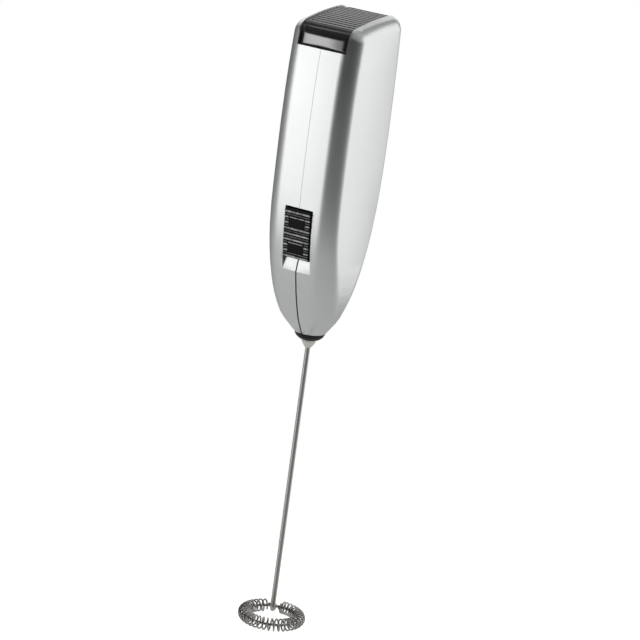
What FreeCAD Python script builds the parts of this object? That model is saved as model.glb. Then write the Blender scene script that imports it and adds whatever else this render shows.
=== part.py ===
"""Battery milk frother, built piece by piece.

Millimetres. +Z runs up the drive axis from the whisk to the lid, the switch faces -Y, and +X is on
the right of someone who looks at the switch. The origin lies on the drive axis, at the lower face
of the nose ring, where the whisk's hub leaves the handle.
"""
import FreeCAD, Part
import math
import os

import Sketcher

V = FreeCAD.Vector
TAU = 2 * math.pi

# Heights that follow from the pieces stacked up the drive axis.
MOTOR_TOP = "(motor_foot + motor_tall)"
CAP_TOP = f"({MOTOR_TOP} + cap_tall)"
TRAY_FLOOR = f"({CAP_TOP} + terminal_room)"
CELL_FLOOR = f"({TRAY_FLOOR} + contact_room)"
CELL_TOP = f"({CELL_FLOOR} + cell_tall + nub_tall)"
ROOF_TOP = f"({CELL_TOP} + roof_room)"
CAVITY_FLOOR = "(nose_tall + nose_floor)"
HUB_TOP = "(motor_foot - boss_tall - hub_space)"
SPINDLE_FOOT = f"({HUB_TOP} - spindle_grip)"
SHAFT_TOP = f"({SPINDLE_FOOT} - hub_web)"
CAVITY_ROOF = f"({CELL_TOP} + rail_lift)"
LID_FOOT = f"({CELL_TOP} - lip_drop)"
LID_UNDER = f"({CELL_TOP} + skirt_lift)"
TONGUE_LEVEL = f"({CELL_TOP} + tongue_lift)"
CONTACT_LEVEL = f"({CELL_TOP} + contact_lift + contact_drop)"
TRAY_TOP = f"({CELL_TOP} - tray_drop)"
ROTOR_FOOT = "(motor_foot + rotor_lift)"
MAGNET_FOOT = "(motor_foot + magnet_lift)"
COMMUTATOR_FOOT = f"({MOTOR_TOP} - commutator_tall)"
BRUSH_LEVEL = f"({MOTOR_TOP} - brush_drop)"
TERMINAL_TOP = f"({CAP_TOP} + terminal_tall)"
LINK_LEVEL = f"({CAP_TOP} + link_lift)"

# Housing stations up the drive axis: height, half width, front, back and corner radius of the
# rounded rectangle that the two shells follow there.
STATIONS = [
    ("nose_tall", 5.4, 5.5, 5.3, 5.2),
    ("waist_level", 9.7, 9.6, 6.1, 6.0),
    ("motor_foot", 12.75, 14.0, 9.7, 7.4),
    ("belly_level", 13.3, 17.7, 13.6, 6.2),
    ("chest_level", 13.25, 19.0, 15.6, 5.9),
    (f"{CELL_TOP} - shoulder_drop", 13.25, 19.1, 15.4, 5.9),
    (f"{CELL_TOP} - rim_drop", 13.25, 18.13, 14.68, 5.9),
    (f"{CELL_TOP} + roof_reach", 13.25, 16.7, 13.7, 5.9),
]
STATION_PARTS = ("half", "front", "back", "corner")
RIM_FRONT = "(front_6 * 0.8 + front_7 * 0.2)"
RIM_BACK = "(back_6 * 0.8 + back_7 * 0.2)"
SECTIONS_PER_STATION = (3, 4, 4, 3, 2, 2, 1)

SIZES = [
    # housing
    ("waist_level", 9.0, "height of the housing's second station"),
    ("belly_level", 39.0, "height of the housing's fourth station"),
    ("chest_level", 61.0, "height of the housing's fifth station"),
    ("shoulder_drop", 18.0, "distance of the housing's sixth station below the cells' tops"),
    ("rim_drop", 1.5, "distance of the housing's seventh station below the cells' tops"),
    ("roof_reach", 13.0, "distance of the housing's last station above the cells' tops"),
    ("wall", 1.6, "thickness of the housing shells"),
    ("seam", 0.25, "gap between the two shells on the centre plane"),
    ("form_fit", 0.15, "gap between the chassis and the inside of the shells"),
    ("rest_half", 13.15, "distance of the flat sides from the drive axis"),
    ("roof_room", 8.75, "height of the top of the crown's circle above the cells"),
    ("roof_radius", 132.6, "radius of the crown along the roof"),
    ("roof_apex", 14.6, "distance behind the drive axis of the crown's highest line"),
    ("front_roll", 3.9, "radius of the rolled front edge of the roof"),
    ("rear_roll", 5.6, "radius of the rolled rear edge of the roof"),
    ("side_roll", 5.2, "radius of the rolled side edges of the roof"),
    ("nose_floor", 2.4, "thickness of the shells above the nose ring"),
    ("rail_lift", 0.2, "height above the cells' tops where the shells' solid rails start"),
    # battery lid
    ("lid_half", 9.05, "half width of the lid"),
    ("lid_step", 0.7, "how far the lid lies below the rails beside it"),
    ("lid_wall", 1.5, "thickness of the lid"),
    ("lip_drop", 2.3, "distance below the cells' tops of the lower edge of the lid's front wall"),
    ("skirt_lift", 0.35, "height of the lid's skirts above the cells' tops"),
    ("lid_rear", 11.6, "distance behind the drive axis of the lid's rear face"),
    ("lid_gap", 0.15, "gap between the lid and the housing"),
    ("lid_front_wall", 15.3, "distance in front of the drive axis where the lid's front wall starts"),
    ("tongue_tall", 0.9, "height of the shells' tongues that guide the lid"),
    ("tongue_depth", 0.7, "how far the tongues reach past the lid's sides"),
    ("tongue_lift", 1.1, "height of the tongues above the cells' tops"),
    ("tongue_front", 13.4, "distance in front of the drive axis of the tongues' front ends"),
    ("groove_pitch", 1.95, "spacing of the grooves across the lid"),
    ("groove_width", 0.7, "width of a groove across the lid"),
    ("groove_depth", 0.35, "depth of a groove across the lid"),
    ("groove_half", 8.3, "half length of the grooves across the lid"),
    ("groove_start", 28.9, "distance from the crown's highest line to the first groove, along the crown"),
    ("groove_count", 12, "number of grooves across the lid"),
    ("contact_drop", 1.1, "how far the dimples stand out of the lid's contact strip"),
    ("contact_half", 4.2, "half width of the lid's contact strip"),
    ("contact_lift", 0.3, "gap between the lid's contact and the cells"),
    ("contact_dimple", 2.2, "radius of the dimples in the lid's contact strip"),
    ("stake_radius", 0.8, "radius of the stakes that hold the lid's contact strip"),
    ("stake_space", 2.4, "half spacing of the stakes"),
    ("cell_middle", 1.5, "distance in front of the drive axis of the plane between the cells"),
    # switch
    ("switch_front", 17.3, "distance in front of the drive axis of the switch's reference point"),
    ("switch_level", 37.5, "height of the switch's reference point"),
    ("switch_tilt", 8.3, "tilt of the switch's sliding direction, in degrees"),
    ("window_half", 5.25, "half width of the switch window"),
    ("window_top", 10.2, "upper end of the window above the reference point"),
    ("window_foot", 13.2, "lower end of the window's ramp below the reference point"),
    ("ramp_length", 5.9, "length of the sloped lower end of the window"),
    ("ramp_depth", 1.9, "depth of the sloped lower end of the window"),
    ("knob_half", 4.95, "half width of the switch knob"),
    ("knob_top", 9.9, "upper end of the knob above the reference point"),
    ("knob_foot", 7.3, "lower end of the knob below the reference point"),
    ("knob_proud", 0.6, "how far the knob's base stands out of the reference plane"),
    ("knob_sink", 0.7, "how far the knob's base reaches below the reference plane"),
    ("knob_bevel", 2.2, "length of the bevel under the knob's lower end"),
    ("rib_rise", 0.4, "height of the knob's grip ribs"),
    ("rib_pitch", 1.92, "spacing of the knob's grip ribs"),
    ("rib_width", 0.9, "width of a grip rib"),
    ("rib_count", 9, "number of grip ribs"),
    ("rib_start", 7.0, "lower edge of the lowest grip rib below the reference point"),
    ("field_half", 3.1, "half width of the knob's smooth fields"),
    ("field_tall", 3.8, "height of the knob's smooth fields"),
    ("field_rise", 0.2, "how far the smooth fields stand out of the knob's base"),
    ("upper_field", 3.4, "height of the upper field's lower edge above the reference point"),
    ("lower_field", 5.4, "distance of the lower field's lower edge below the reference point"),
    ("stem_half", 3.0, "half width of the knob's stem"),
    ("stem_tall", 5.0, "height of the knob's stem"),
    ("stem_fit", 0.05, "gap around the knob's stem in the slider"),
    ("slider_half", 6.6, "half width of the slider behind the window"),
    ("slider_depth", 2.3, "depth of the slider's outer face below the reference plane"),
    ("slider_thick", 1.0, "thickness of the slider"),
    ("slider_top", 11.4, "upper end of the slider above the reference point"),
    ("slider_foot", 7.9, "lower end of the slider below the reference point"),
    ("guide_gap", 0.2, "gap between the slider and its guides"),
    ("guide_thick", 1.1, "thickness of the slider's guides"),
    ("bridge_half", 3.4, "half width of the switch bridge"),
    ("bridge_foot", 1.0, "lower end of the bridge below the reference point"),
    ("bridge_top", 7.6, "upper end of the bridge above the reference point"),
    ("metal", 0.3, "thickness of the metal strips and of the bridge"),
    ("bed_gap", 0.3, "gap between the bridge and the fixed strips"),
    ("bed_thick", 1.3, "thickness of the chassis bed that carries the fixed strips"),
    ("strip_half", 1.4, "half width of the strips"),
    ("strip_break", 2.2, "gap between the two strips that the bridge closes"),
    ("strip_split", 0.9, "lower end of the upper strip above the reference point"),
    # cells and their tray
    ("cell_radius", 7.0, "radius of a cell"),
    ("cell_tall", 49.2, "height of a cell without its positive end"),
    ("nub_tall", 1.0, "height of a cell's positive end"),
    ("nub_radius", 2.7, "radius of a cell's positive end"),
    ("contact_room", 3.3, "height of the cells' lower ends above the tray's floor"),
    ("cell_gap", 0.3, "gap between the two cells"),
    ("terminal_room", 5.9, "height of the tray's floor above the motor's end cap"),
    ("tray_thick", 1.4, "thickness of the chassis plates"),
    ("tray_half", 7.5, "half of the clear width between the tray's side walls"),
    ("tray_drop", 8.0, "distance of the tray's side walls' upper ends below the cells' tops"),
    ("tray_side", 1.1, "thickness of the tray's side walls"),
    ("spring_wide", 4.6, "radius of the contact spring's lowest turn"),
    ("spring_narrow", 2.4, "radius of the contact spring's highest turn"),
    ("spring_wire", 0.35, "radius of the contact spring's wire"),
    ("spring_turns", 3.5, "number of turns in the contact spring"),
    ("plate_half", 5.4, "half width of the cells' contact plates"),
    # motor
    ("motor_radius", 10.05, "radius of the motor can's round sides"),
    ("motor_flat", 7.55, "distance of the motor can's flats from the drive axis"),
    ("motor_foot", 21.0, "height of the motor can's lower face"),
    ("motor_tall", 19.6, "height of the motor can"),
    ("motor_skin", 0.8, "thickness of the motor can's sheet"),
    ("motor_fit", 0.1, "gap between the motor can and the chassis"),
    ("boss_radius", 3.1, "radius of the boss around the motor's lower bush"),
    ("boss_tall", 1.6, "height of the boss around the motor's lower bush"),
    ("bush_radius", 2.2, "radius of the motor's lower bush"),
    ("bush_tall", 3.2, "height of the motor's lower bush"),
    ("cap_tall", 3.0, "height of the motor's end cap above the can"),
    ("cap_plug", 2.0, "how far the end cap reaches into the can"),
    ("cap_skin", 1.3, "thickness of the end cap"),
    ("spindle_radius", 1.0, "radius of the motor shaft"),
    ("spindle_grip", 6.5, "length of the motor shaft inside the coupling hub"),
    ("spindle_end", 0.2, "how far the motor shaft stands out of the end cap"),
    ("spindle_fit", 0.03, "radial running gap of the motor shaft"),
    ("rotor_radius", 6.2, "radius of the rotor core"),
    ("rotor_lift", 5.0, "height of the rotor core above the motor can's lower face"),
    ("rotor_tall", 8.0, "height of the rotor core"),
    ("rotor_hub", 2.3, "radius of the rotor core's hub"),
    ("pole_width", 2.2, "width of a rotor pole's arm"),
    ("pole_cap", 1.1, "thickness of a rotor pole's cap"),
    ("pole_slot", 2.0, "width of the slots between the pole caps"),
    ("winding_rise", 1.2, "how far the windings stand out of the core's ends"),
    ("winding_half", 2.6, "half width of a winding"),
    ("winding_reach", 4.2, "distance of a winding's outer face from the drive axis"),
    ("commutator_radius", 2.5, "radius of the commutator"),
    ("commutator_tall", 3.2, "height of the commutator below the motor can's upper edge"),
    ("brush_gap", 0.1, "gap between a brush and the commutator"),
    ("brush_drop", 1.7, "distance of the brushes' lower edges below the motor can's upper edge"),
    ("brush_tall", 1.3, "height of the brushes"),
    ("terminal_at", 5.2, "distance of the terminals' inner faces from the drive axis"),
    ("terminal_half", 1.5, "half width of a terminal"),
    ("terminal_tall", 3.4, "height of the terminals above the motor's end cap"),
    ("link_lift", 2.0, "height of the strips that meet the terminals above the motor's end cap"),
    ("magnet_gap", 0.4, "air gap between the rotor and the magnets"),
    ("magnet_lift", 3.4, "height of the magnets above the motor can's lower face"),
    ("magnet_tall", 11.2, "height of the magnets"),
    ("magnet_split", 4.4, "distance of the magnets' inner edges from the centre plane"),
    # nose, hub and whisk
    ("nose_radius", 5.4, "radius of the nose ring where it meets the shells"),
    ("nose_shoulder", 4.75, "radius of the nose ring's shoulder"),
    ("nose_shoulder_level", 1.1, "height of the nose ring's shoulder"),
    ("nose_tall", 2.6, "height of the nose ring below the shells"),
    ("nose_tip", 3.4, "radius of the nose ring's lower edge"),
    ("nose_sleeve", 3.2, "radius of the nose ring's sleeve inside the shells"),
    ("nose_flange", 3.7, "radius of the flange that keeps the nose ring in the shells"),
    ("nose_flange_tall", 0.9, "thickness of the nose ring's flange"),
    ("nose_fit", 0.05, "gap between the nose ring and the shells"),
    ("nose_bore", 2.5, "radius of the nose ring's bore"),
    ("hub_radius", 2.35, "radius of the coupling hub"),
    ("hub_space", 2.9, "gap between the coupling hub and the motor can's boss"),
    ("hub_drop", 1.2, "distance from the nose ring's lower face down to the hub's cone"),
    ("hub_tip", 1.8, "length of the hub's cone"),
    ("hub_tip_radius", 1.1, "radius of the hub's cone at its tip"),
    ("shaft_radius", 0.85, "radius of the whisk shaft"),
    ("hub_web", 4.0, "distance inside the hub between the motor shaft and the whisk shaft"),
    ("whisk_drop", 99.6, "distance of the whisk ring's middle plane below the origin"),
    ("bend_level", 3.5, "height of the centre of the shaft's bend above the ring's middle plane"),
    ("arm_bend", 1.7, "radius of the shaft's bend"),
    ("arm_turn", 24.0, "angle from the handle's back round to the arm at rest, in degrees"),
    ("ring_radius", 9.42, "radius of the whisk ring's core circle"),
    ("ring_wire", 0.45, "radius of the whisk ring's core wire"),
    ("coil_radius", 2.03, "radius of the coil's turns"),
    ("coil_wire", 0.3, "radius of the coil's wire"),
    ("coil_turns", 36, "number of turns in the coil"),
    ("coil_gap", 17.0, "angle that the coil leaves open for the arm, in degrees"),
    ("crowded_turns", 3, "number of closer turns at the coil's second end"),
    ("crowded_pitch", 6.0, "angle round the ring from one of the closer turns to the next, in degrees"),
]
for number, station in enumerate(STATIONS):
    for part_name, value in zip(STATION_PARTS, station[1:]):
        SIZES.append((f"{part_name}_{number}", value, f"{part_name} of housing station {number}"))

doc = FreeCAD.newDocument("milk_frother")
sheet = doc.addObject("Spreadsheet::Sheet", "Sizes")
for row, (alias, value, note) in enumerate(SIZES, start=1):
    sheet.set(f"A{row}", note)
    sheet.set(f"B{row}", str(value))
    sheet.setAlias(f"B{row}", alias)
doc.recompute()

PIECES = []


def rule(text):
    """A rule for an expression: every word that is an alias of the sheet is looked up there."""
    words = []
    word = ""
    for letter in text + " ":
        if letter.isalnum() or letter == "_":
            word += letter
            continue
        words.append(f"Sizes.{word}" if word in ALIASES else word)
        words.append(letter)
        word = ""
    return "".join(words).strip()


ALIASES = {alias for alias, value, note in SIZES}
gauge = doc.addObject("App::FeaturePython", "Gauge")
gauge.addProperty("App::PropertyFloat", "Worth")


def size(text):
    """The number that a rule on the sheet gives now."""
    gauge.setExpression("Worth", rule(text))
    gauge.recompute()
    return gauge.Worth


def bind(item, rules):
    """Bind an object's properties to rules on the sheet."""
    for prop, text in rules.items():
        item.setExpression(prop, rule(text))
    return item


def piece(item, label):
    """Name an object as one of the frother's pieces."""
    item.Label = label
    PIECES.append(item)
    return item


# ---- primitives and booleans -------------------------------------------------------------------

def block(name, x, y, z):
    """A box between two rules on each axis."""
    item = doc.addObject("Part::Box", name)
    rules = {}
    for (low, high), length, axis in zip((x, y, z), ("Length", "Width", "Height"), "xyz"):
        rules[length] = f"({high}) - ({low})"
        rules[f".Placement.Base.{axis}"] = low
    return bind(item, rules)


def rod(name, radius, low, high, x="0", y="0"):
    """A cylinder up the Z axis between two heights."""
    item = doc.addObject("Part::Cylinder", name)
    return bind(item, {
        "Radius": radius,
        "Height": f"({high}) - ({low})",
        ".Placement.Base.x": x,
        ".Placement.Base.y": y,
        ".Placement.Base.z": low,
    })


def cone(name, low_radius, high_radius, low, high, y="0"):
    """A cone up the Z axis between two heights."""
    item = doc.addObject("Part::Cone", name)
    return bind(item, {
        "Radius1": low_radius,
        "Radius2": high_radius,
        "Height": f"({high}) - ({low})",
        ".Placement.Base.y": y,
        ".Placement.Base.z": low,
    })


def fuse(name, *items):
    """One solid from several."""
    item = doc.addObject("Part::MultiFuse", name)
    item.Shapes = list(items)
    item.Refine = True
    return item


def common(name, *items):
    """What several solids share."""
    item = doc.addObject("Part::MultiCommon", name)
    item.Shapes = list(items)
    item.Refine = True
    return item


def cut(name, base, *tools):
    """A solid less one or more others."""
    item = doc.addObject("Part::Cut", name)
    item.Base = base
    item.Tool = tools[0] if len(tools) == 1 else fuse(f"{name}_tools", *tools)
    item.Refine = True
    return item


def group(name, *items):
    """Several separate solids in one piece's file."""
    item = doc.addObject("Part::Compound", name)
    item.Links = list(items)
    return item


# ---- sketches ----------------------------------------------------------------------------------

def new_body(name):
    return doc.addObject("PartDesign::Body", name)


def new_sketch(body, name, role, offset=None):
    """A sketch on one of its body's own origin planes, moved along that plane's normal."""
    sketch = body.newObject("Sketcher::SketchObject", name)
    plane = next(item for item in body.Origin.OriginFeatures if item.Role == role)
    sketch.AttachmentSupport = (plane, [""])
    sketch.MapMode = "FlatFace"
    if offset:
        sketch.setExpression(".AttachmentOffset.Base.z", rule(offset))
    return sketch


def fix_point(sketch, geometry, end, across, up):
    """Hold one point of a sketch at two rules."""
    spot = sketch.getPoint(geometry, end)
    for kind, text, now in (("DistanceX", across, spot.x), ("DistanceY", up, spot.y)):
        if text is None:
            continue
        index = sketch.addConstraint(Sketcher.Constraint(kind, -1, 1, geometry, end, now))
        sketch.setExpression(f"Constraints[{index}]", rule(text))


def fix_radius(sketch, geometry, text):
    now = sketch.Geometry[geometry].Radius
    index = sketch.addConstraint(Sketcher.Constraint("Radius", geometry, now))
    sketch.setExpression(f"Constraints[{index}]", rule(text))


def join(sketch, first, first_end, second, second_end, kind="Coincident"):
    sketch.addConstraint(Sketcher.Constraint(kind, first, first_end, second, second_end))


def polygon(sketch, corners):
    """A closed outline through corners, each held at two rules."""
    count = len(corners)
    first = sketch.GeometryCount
    spots = [V(size(across), size(up), 0) for across, up in corners]
    for n in range(count):
        sketch.addGeometry(Part.LineSegment(spots[n], spots[(n + 1) % count]), False)
    for n in range(count):
        join(sketch, first + n, 2, first + (n + 1) % count, 1)
    for n, (across, up) in enumerate(corners):
        fix_point(sketch, first + n, 1, across, up)


def pad(body, name, sketch, length, both_ways=True):
    item = body.newObject("PartDesign::Pad", name)
    item.Profile = sketch
    item.SideType = "Symmetric" if both_ways else "One side"
    return bind(item, {"Length": length})


def pocket(body, name, sketch, length):
    item = body.newObject("PartDesign::Pocket", name)
    item.Profile = sketch
    item.SideType = "Symmetric"
    return bind(item, {"Length": length})


def prism(name, role, corners, length):
    """A body with one polygon, padded evenly to both sides of its plane."""
    body = new_body(name)
    sketch = new_sketch(body, f"{name}_outline", role)
    polygon(sketch, corners)
    pad(body, f"{name}_pad", sketch, length)
    return body


# ---- the housing's form ------------------------------------------------------------------------

def section(body, name, level, half, front, back, corner, guess):
    """A rounded rectangle at one height, in the order right, rear, left and front side."""
    sketch = new_sketch(body, name, "XY_Plane", level)
    wide, ahead, behind, radius = guess
    centres = [
        V(wide - radius, behind - radius, 0),
        V(radius - wide, behind - radius, 0),
        V(radius - wide, radius - ahead, 0),
        V(wide - radius, radius - ahead, 0),
    ]
    spots = []
    for n, centre in enumerate(centres):
        for step in (0, 1):
            angle = (n + step) * TAU / 4
            spots.append(centre + V(math.cos(angle), math.sin(angle), 0) * radius)
    for n, centre in enumerate(centres):
        circle = Part.Circle(centre, V(0, 0, 1), radius)
        sketch.addGeometry(Part.ArcOfCircle(circle, n * TAU / 4, (n + 1) * TAU / 4), False)
        sketch.addGeometry(Part.LineSegment(spots[2 * n + 1], spots[(2 * n + 2) % 8]), False)
    for n in range(4):
        arc = 2 * n
        join(sketch, arc, 2, arc + 1, 1, "Tangent")
        join(sketch, arc + 1, 2, (arc + 2) % 8, 1, "Tangent")
        fix_radius(sketch, arc, corner)
    for line, kind in ((1, "Horizontal"), (3, "Vertical"), (5, "Horizontal"), (7, "Vertical")):
        sketch.addConstraint(Sketcher.Constraint(kind, line))
    fix_point(sketch, 7, 1, half, None)
    fix_point(sketch, 1, 1, None, back)
    fix_point(sketch, 3, 1, f"-({half})", None)
    fix_point(sketch, 5, 1, None, f"-({front})")
    return sketch


def blend(n, share):
    """How much each station near span n counts towards a smooth curve's value within that span."""
    last = len(STATIONS) - 1
    span = HEIGHTS[n + 1] - HEIGHTS[n]
    weights = dict.fromkeys(range(max(n - 1, 0), min(n + 2, last) + 1), 0.0)
    weights[n] += (1 + 2 * share) * (1 - share) ** 2
    weights[n + 1] += share ** 2 * (3 - 2 * share)
    for k, slope in ((n, share * (1 - share) ** 2), (n + 1, share ** 2 * (share - 1))):
        below, above = max(k - 1, 0), min(k + 1, last)
        part = slope * span / (HEIGHTS[above] - HEIGHTS[below])
        weights[above] += part
        weights[below] -= part
    return {k: weight for k, weight in weights.items() if weight}


def mixed(weights, rules):
    """The weighted sum of some stations' rules."""
    return " + ".join(f"({weight:.6f}) * ({rules[k]})" for k, weight in weights.items())


HEIGHTS = [size(station[0]) for station in STATIONS]


def housing_form(name, inset=()):
    """The housing's outer form, taken in by some sizes, lofted through its stations and between them."""
    body = new_body(name)
    taken = sum(size(word) for word in inset)
    less = "".join(f" - {word}" for word in inset)
    rows = [(n, k / count) for n, count in enumerate(SECTIONS_PER_STATION) for k in range(count)]
    rows.append((len(STATIONS) - 2, 1.0))
    sketches = []
    for row, (n, share) in enumerate(rows):
        level = f"({STATIONS[n][0]}) * {1 - share:.6f} + ({STATIONS[n + 1][0]}) * {share:.6f}"
        weights = blend(n, share)
        guess = [
            sum(weight * size(f"{word}_{k}") for k, weight in weights.items()) - taken
            for word in STATION_PARTS
        ]
        rules = [
            mixed(weights, {k: f"{word}_{k}" for k in weights}) + less for word in STATION_PARTS
        ]
        sketches.append(section(body, f"{name}_{row}", level, *rules, guess))
    loft = body.newObject("PartDesign::AdditiveLoft", f"{name}_loft")
    loft.Profile = sketches[0]
    loft.Sections = sketches[1:]
    loft.Ruled = True
    return body


def roof_arcs(sketch, inset):
    """Front roll, crown and rear roll of the roof in a side view, taken in by some sizes."""
    less = "".join(f" - {word}" for word in inset)
    taken = sum(size(word) for word in inset)
    crown = size("roof_radius")
    top = V(size("roof_apex"), size(ROOF_TOP) - crown, 0)
    centres = []
    for alias, edge in (("front_roll", -size(RIM_FRONT)), ("rear_roll", size(RIM_BACK))):
        across = edge - math.copysign(size(alias), edge)
        reach = crown - size(alias)
        centres.append(V(across, top.y + math.sqrt(reach ** 2 - (across - top.x) ** 2), 0))
    turns = [math.atan2(centre.y - top.y, centre.x - top.x) for centre in centres]
    rolls = [size("front_roll") - taken, size("rear_roll") - taken]
    arcs = (
        (centres[0], rolls[0], turns[0], math.pi),
        (top, crown - taken, turns[1], turns[0]),
        (centres[1], rolls[1], 0.0, turns[1]),
    )
    first = sketch.GeometryCount
    for centre, radius, start, end in arcs:
        circle = Part.Circle(centre, V(0, 0, 1), radius)
        sketch.addGeometry(Part.ArcOfCircle(circle, start, end), False)
    join(sketch, first, 1, first + 1, 2, "Tangent")
    join(sketch, first + 1, 1, first + 2, 2, "Tangent")
    fix_point(sketch, first, 3, f"front_roll - {RIM_FRONT}", None)
    fix_point(sketch, first + 1, 3, "roof_apex", f"{ROOF_TOP} - roof_radius")
    fix_point(sketch, first + 2, 3, f"{RIM_BACK} - rear_roll", None)
    for n, text in enumerate(("front_roll", "roof_radius", "rear_roll")):
        fix_radius(sketch, first + n, text + less)
    sketch.addConstraint(Sketcher.Constraint("Horizontal", first, 3, first, 2))
    sketch.addConstraint(Sketcher.Constraint("Horizontal", first + 2, 3, first + 2, 1))
    ends = [centres[0] - V(rolls[0], 0, 0), centres[1] + V(rolls[1], 0, 0)]
    return first, ends


def roof_cut(body, name, inset=()):
    """Cut away what lies above the crowned and rolled roof."""
    sketch = new_sketch(body, f"{name}_outline", "YZ_Plane")
    first, ends = roof_arcs(sketch, inset)
    reach = size(ROOF_TOP) / 3
    high = size(ROOF_TOP) * 1.2
    spots = [
        ends[0], V(-reach, ends[0].y, 0), V(-reach, high, 0),
        V(reach, high, 0), V(reach, ends[1].y, 0), ends[1],
    ]
    line = sketch.GeometryCount
    for start, end in zip(spots, spots[1:]):
        sketch.addGeometry(Part.LineSegment(start, end), False)
    join(sketch, first, 2, line, 1)
    for n in range(4):
        join(sketch, line + n, 2, line + n + 1, 1)
    join(sketch, line + 4, 2, first + 2, 1)
    for n in range(5):
        kind = "Vertical" if n % 2 else "Horizontal"
        sketch.addConstraint(Sketcher.Constraint(kind, line + n))
    fix_point(sketch, line + 1, 1, f"-{ROOF_TOP} / 3", None)
    fix_point(sketch, line + 3, 1, f"{ROOF_TOP} / 3", f"{ROOF_TOP} * 1.2")
    return pocket(body, name, sketch, "rest_half * 9")


def rolled_rim(name, item):
    """Round the roof's rim, with a radius for the front, one for the sides and one for the rear."""
    doc.recompute()
    shape = item.Shape
    roof = max(shape.Faces, key=lambda face: face.CenterOfMass.z)
    ends = [corner.Y for corner in roof.Vertexes]
    nearly = size("seam")
    rows = []
    for number, edge in enumerate(shape.Edges, start=1):
        if not any(edge.isSame(rim_edge) for rim_edge in roof.Edges):
            continue
        radii = []
        for corner in edge.Vertexes:
            if corner.Y < min(ends) + nearly:
                radii.append(size("front_roll"))
            elif corner.Y > max(ends) - nearly:
                radii.append(size("rear_roll"))
            else:
                radii.append(size("side_roll"))
        rows.append((number, *radii))
    rolled = doc.addObject("Part::Fillet", name)
    rolled.Base = item
    rolled.Edges = rows
    return rolled


def tilted(item):
    """Stand a solid in the switch's frame: its Z slides along the switch's path, its Y points in."""
    item.Placement = FreeCAD.Placement(V(), FreeCAD.Rotation(V(1, 0, 0), size("switch_tilt")))
    return bind(item, {
        ".Placement.Base.y": "-switch_front",
        ".Placement.Base.z": "switch_level",
        ".Placement.Rotation.Angle": "switch_tilt",
    })


def wire_loft(name, centre, steps, radius, sides, closed=False):
    """A wire of many-sided section along a curve, its rings joined by flat-sided lofts."""
    rings = []
    for k in range(steps if closed else steps + 1):
        here = centre(k)
        tangent = centre(k + 0.5).sub(centre(k - 0.5)).normalize()
        across = here.sub(V(0, 0, here.z))
        across = across.sub(tangent * across.dot(tangent)).normalize()
        up = tangent.cross(across)
        corners = []
        for n in range(sides):
            turn = TAU * (n + 0.5) / sides
            corners.append(here + across * (radius * math.cos(turn)) + up * (radius * math.sin(turn)))
        rings.append(Part.makePolygon(corners + [corners[0]]))
    item = doc.addObject("Part::Feature", name)
    item.Shape = Part.makeLoft(rings, True, True, closed)
    return item


# ================================================================================================
# Housing
# ================================================================================================

crown = doc.addObject("Part::Cylinder", "crown")
crown.Placement = FreeCAD.Placement(V(), FreeCAD.Rotation(V(0, 1, 0), 90))
bind(crown, {
    "Radius": "roof_radius",
    "Height": "rest_half * 4",
    ".Placement.Base.x": "-rest_half * 2",
    ".Placement.Base.y": "roof_apex",
    ".Placement.Base.z": f"{ROOF_TOP} - roof_radius",
})
housing = common(
    "housing",
    rolled_rim("rolled_housing", common("crowned_housing", housing_form("housing_form"), crown)),
    block("flat_sides", ("-rest_half", "rest_half"), ("-front_4 * 2", "front_4 * 2"),
          ("0", f"{ROOF_TOP} + wall")),
)

cavity = common(
    "cavity",
    housing_form("cavity_form", ("wall",)),
    block("cavity_span", ("-rest_half", "rest_half"), ("-front_4", "front_4"), (CAVITY_FLOOR, CAVITY_ROOF)),
)
bay_half = "lid_half + lid_gap"
tongue_reach = "lid_half - tongue_depth + lid_gap"
tongues = [
    block(f"tongue_{n}", span, ("-tongue_front", "lid_rear + lid_gap * 2"),
          (TONGUE_LEVEL, f"{TONGUE_LEVEL} + tongue_tall"))
    for n, span in enumerate((
        (tongue_reach, f"{bay_half} + lid_gap"), (f"-({bay_half}) - lid_gap", f"-({tongue_reach})")))
]
lid_opening = cut("lid_opening", block(
    "lid_bay", (f"-({bay_half})", bay_half), ("-front_4 * 2", "lid_rear + lid_gap"),
    (f"{CAVITY_ROOF} - wall / 2", f"{ROOF_TOP} + wall")), *tongues)
front_opening = block(
    "front_opening", (f"-({bay_half})", bay_half), ("-front_4 * 2", "-lid_front_wall + lid_gap"),
    (f"{LID_FOOT} - lid_gap", f"{ROOF_TOP} + wall"))
window = tilted(prism("window", "YZ_Plane", [
    ("-knob_half", "-window_foot - ramp_length"), ("0", "-window_foot"),
    ("ramp_depth * 2", "-window_foot + ramp_length * 2"), ("ramp_depth * 2", "window_top"),
    ("-knob_half", "window_top"),
], "window_half * 2"))
nose_hole = rod("nose_hole", "nose_sleeve + nose_fit", "0", f"{CAVITY_FLOOR} + wall")
housing_hollow = cut(
    "housing_hollow", housing, cavity, lid_opening, front_opening, window, nose_hole)
for name, near, far in (
    ("left_shell", "-rest_half * 2", "-seam / 2"),
    ("right_shell", "seam / 2", "rest_half * 2"),
):
    half_space = block(
        f"{name}_space", (near, far), ("-front_4 * 2", "front_4 * 2"), ("0", f"{ROOF_TOP} + wall"))
    piece(common(f"{name}_half", housing_hollow, half_space), name)

# ================================================================================================
# Battery lid
# ================================================================================================

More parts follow.
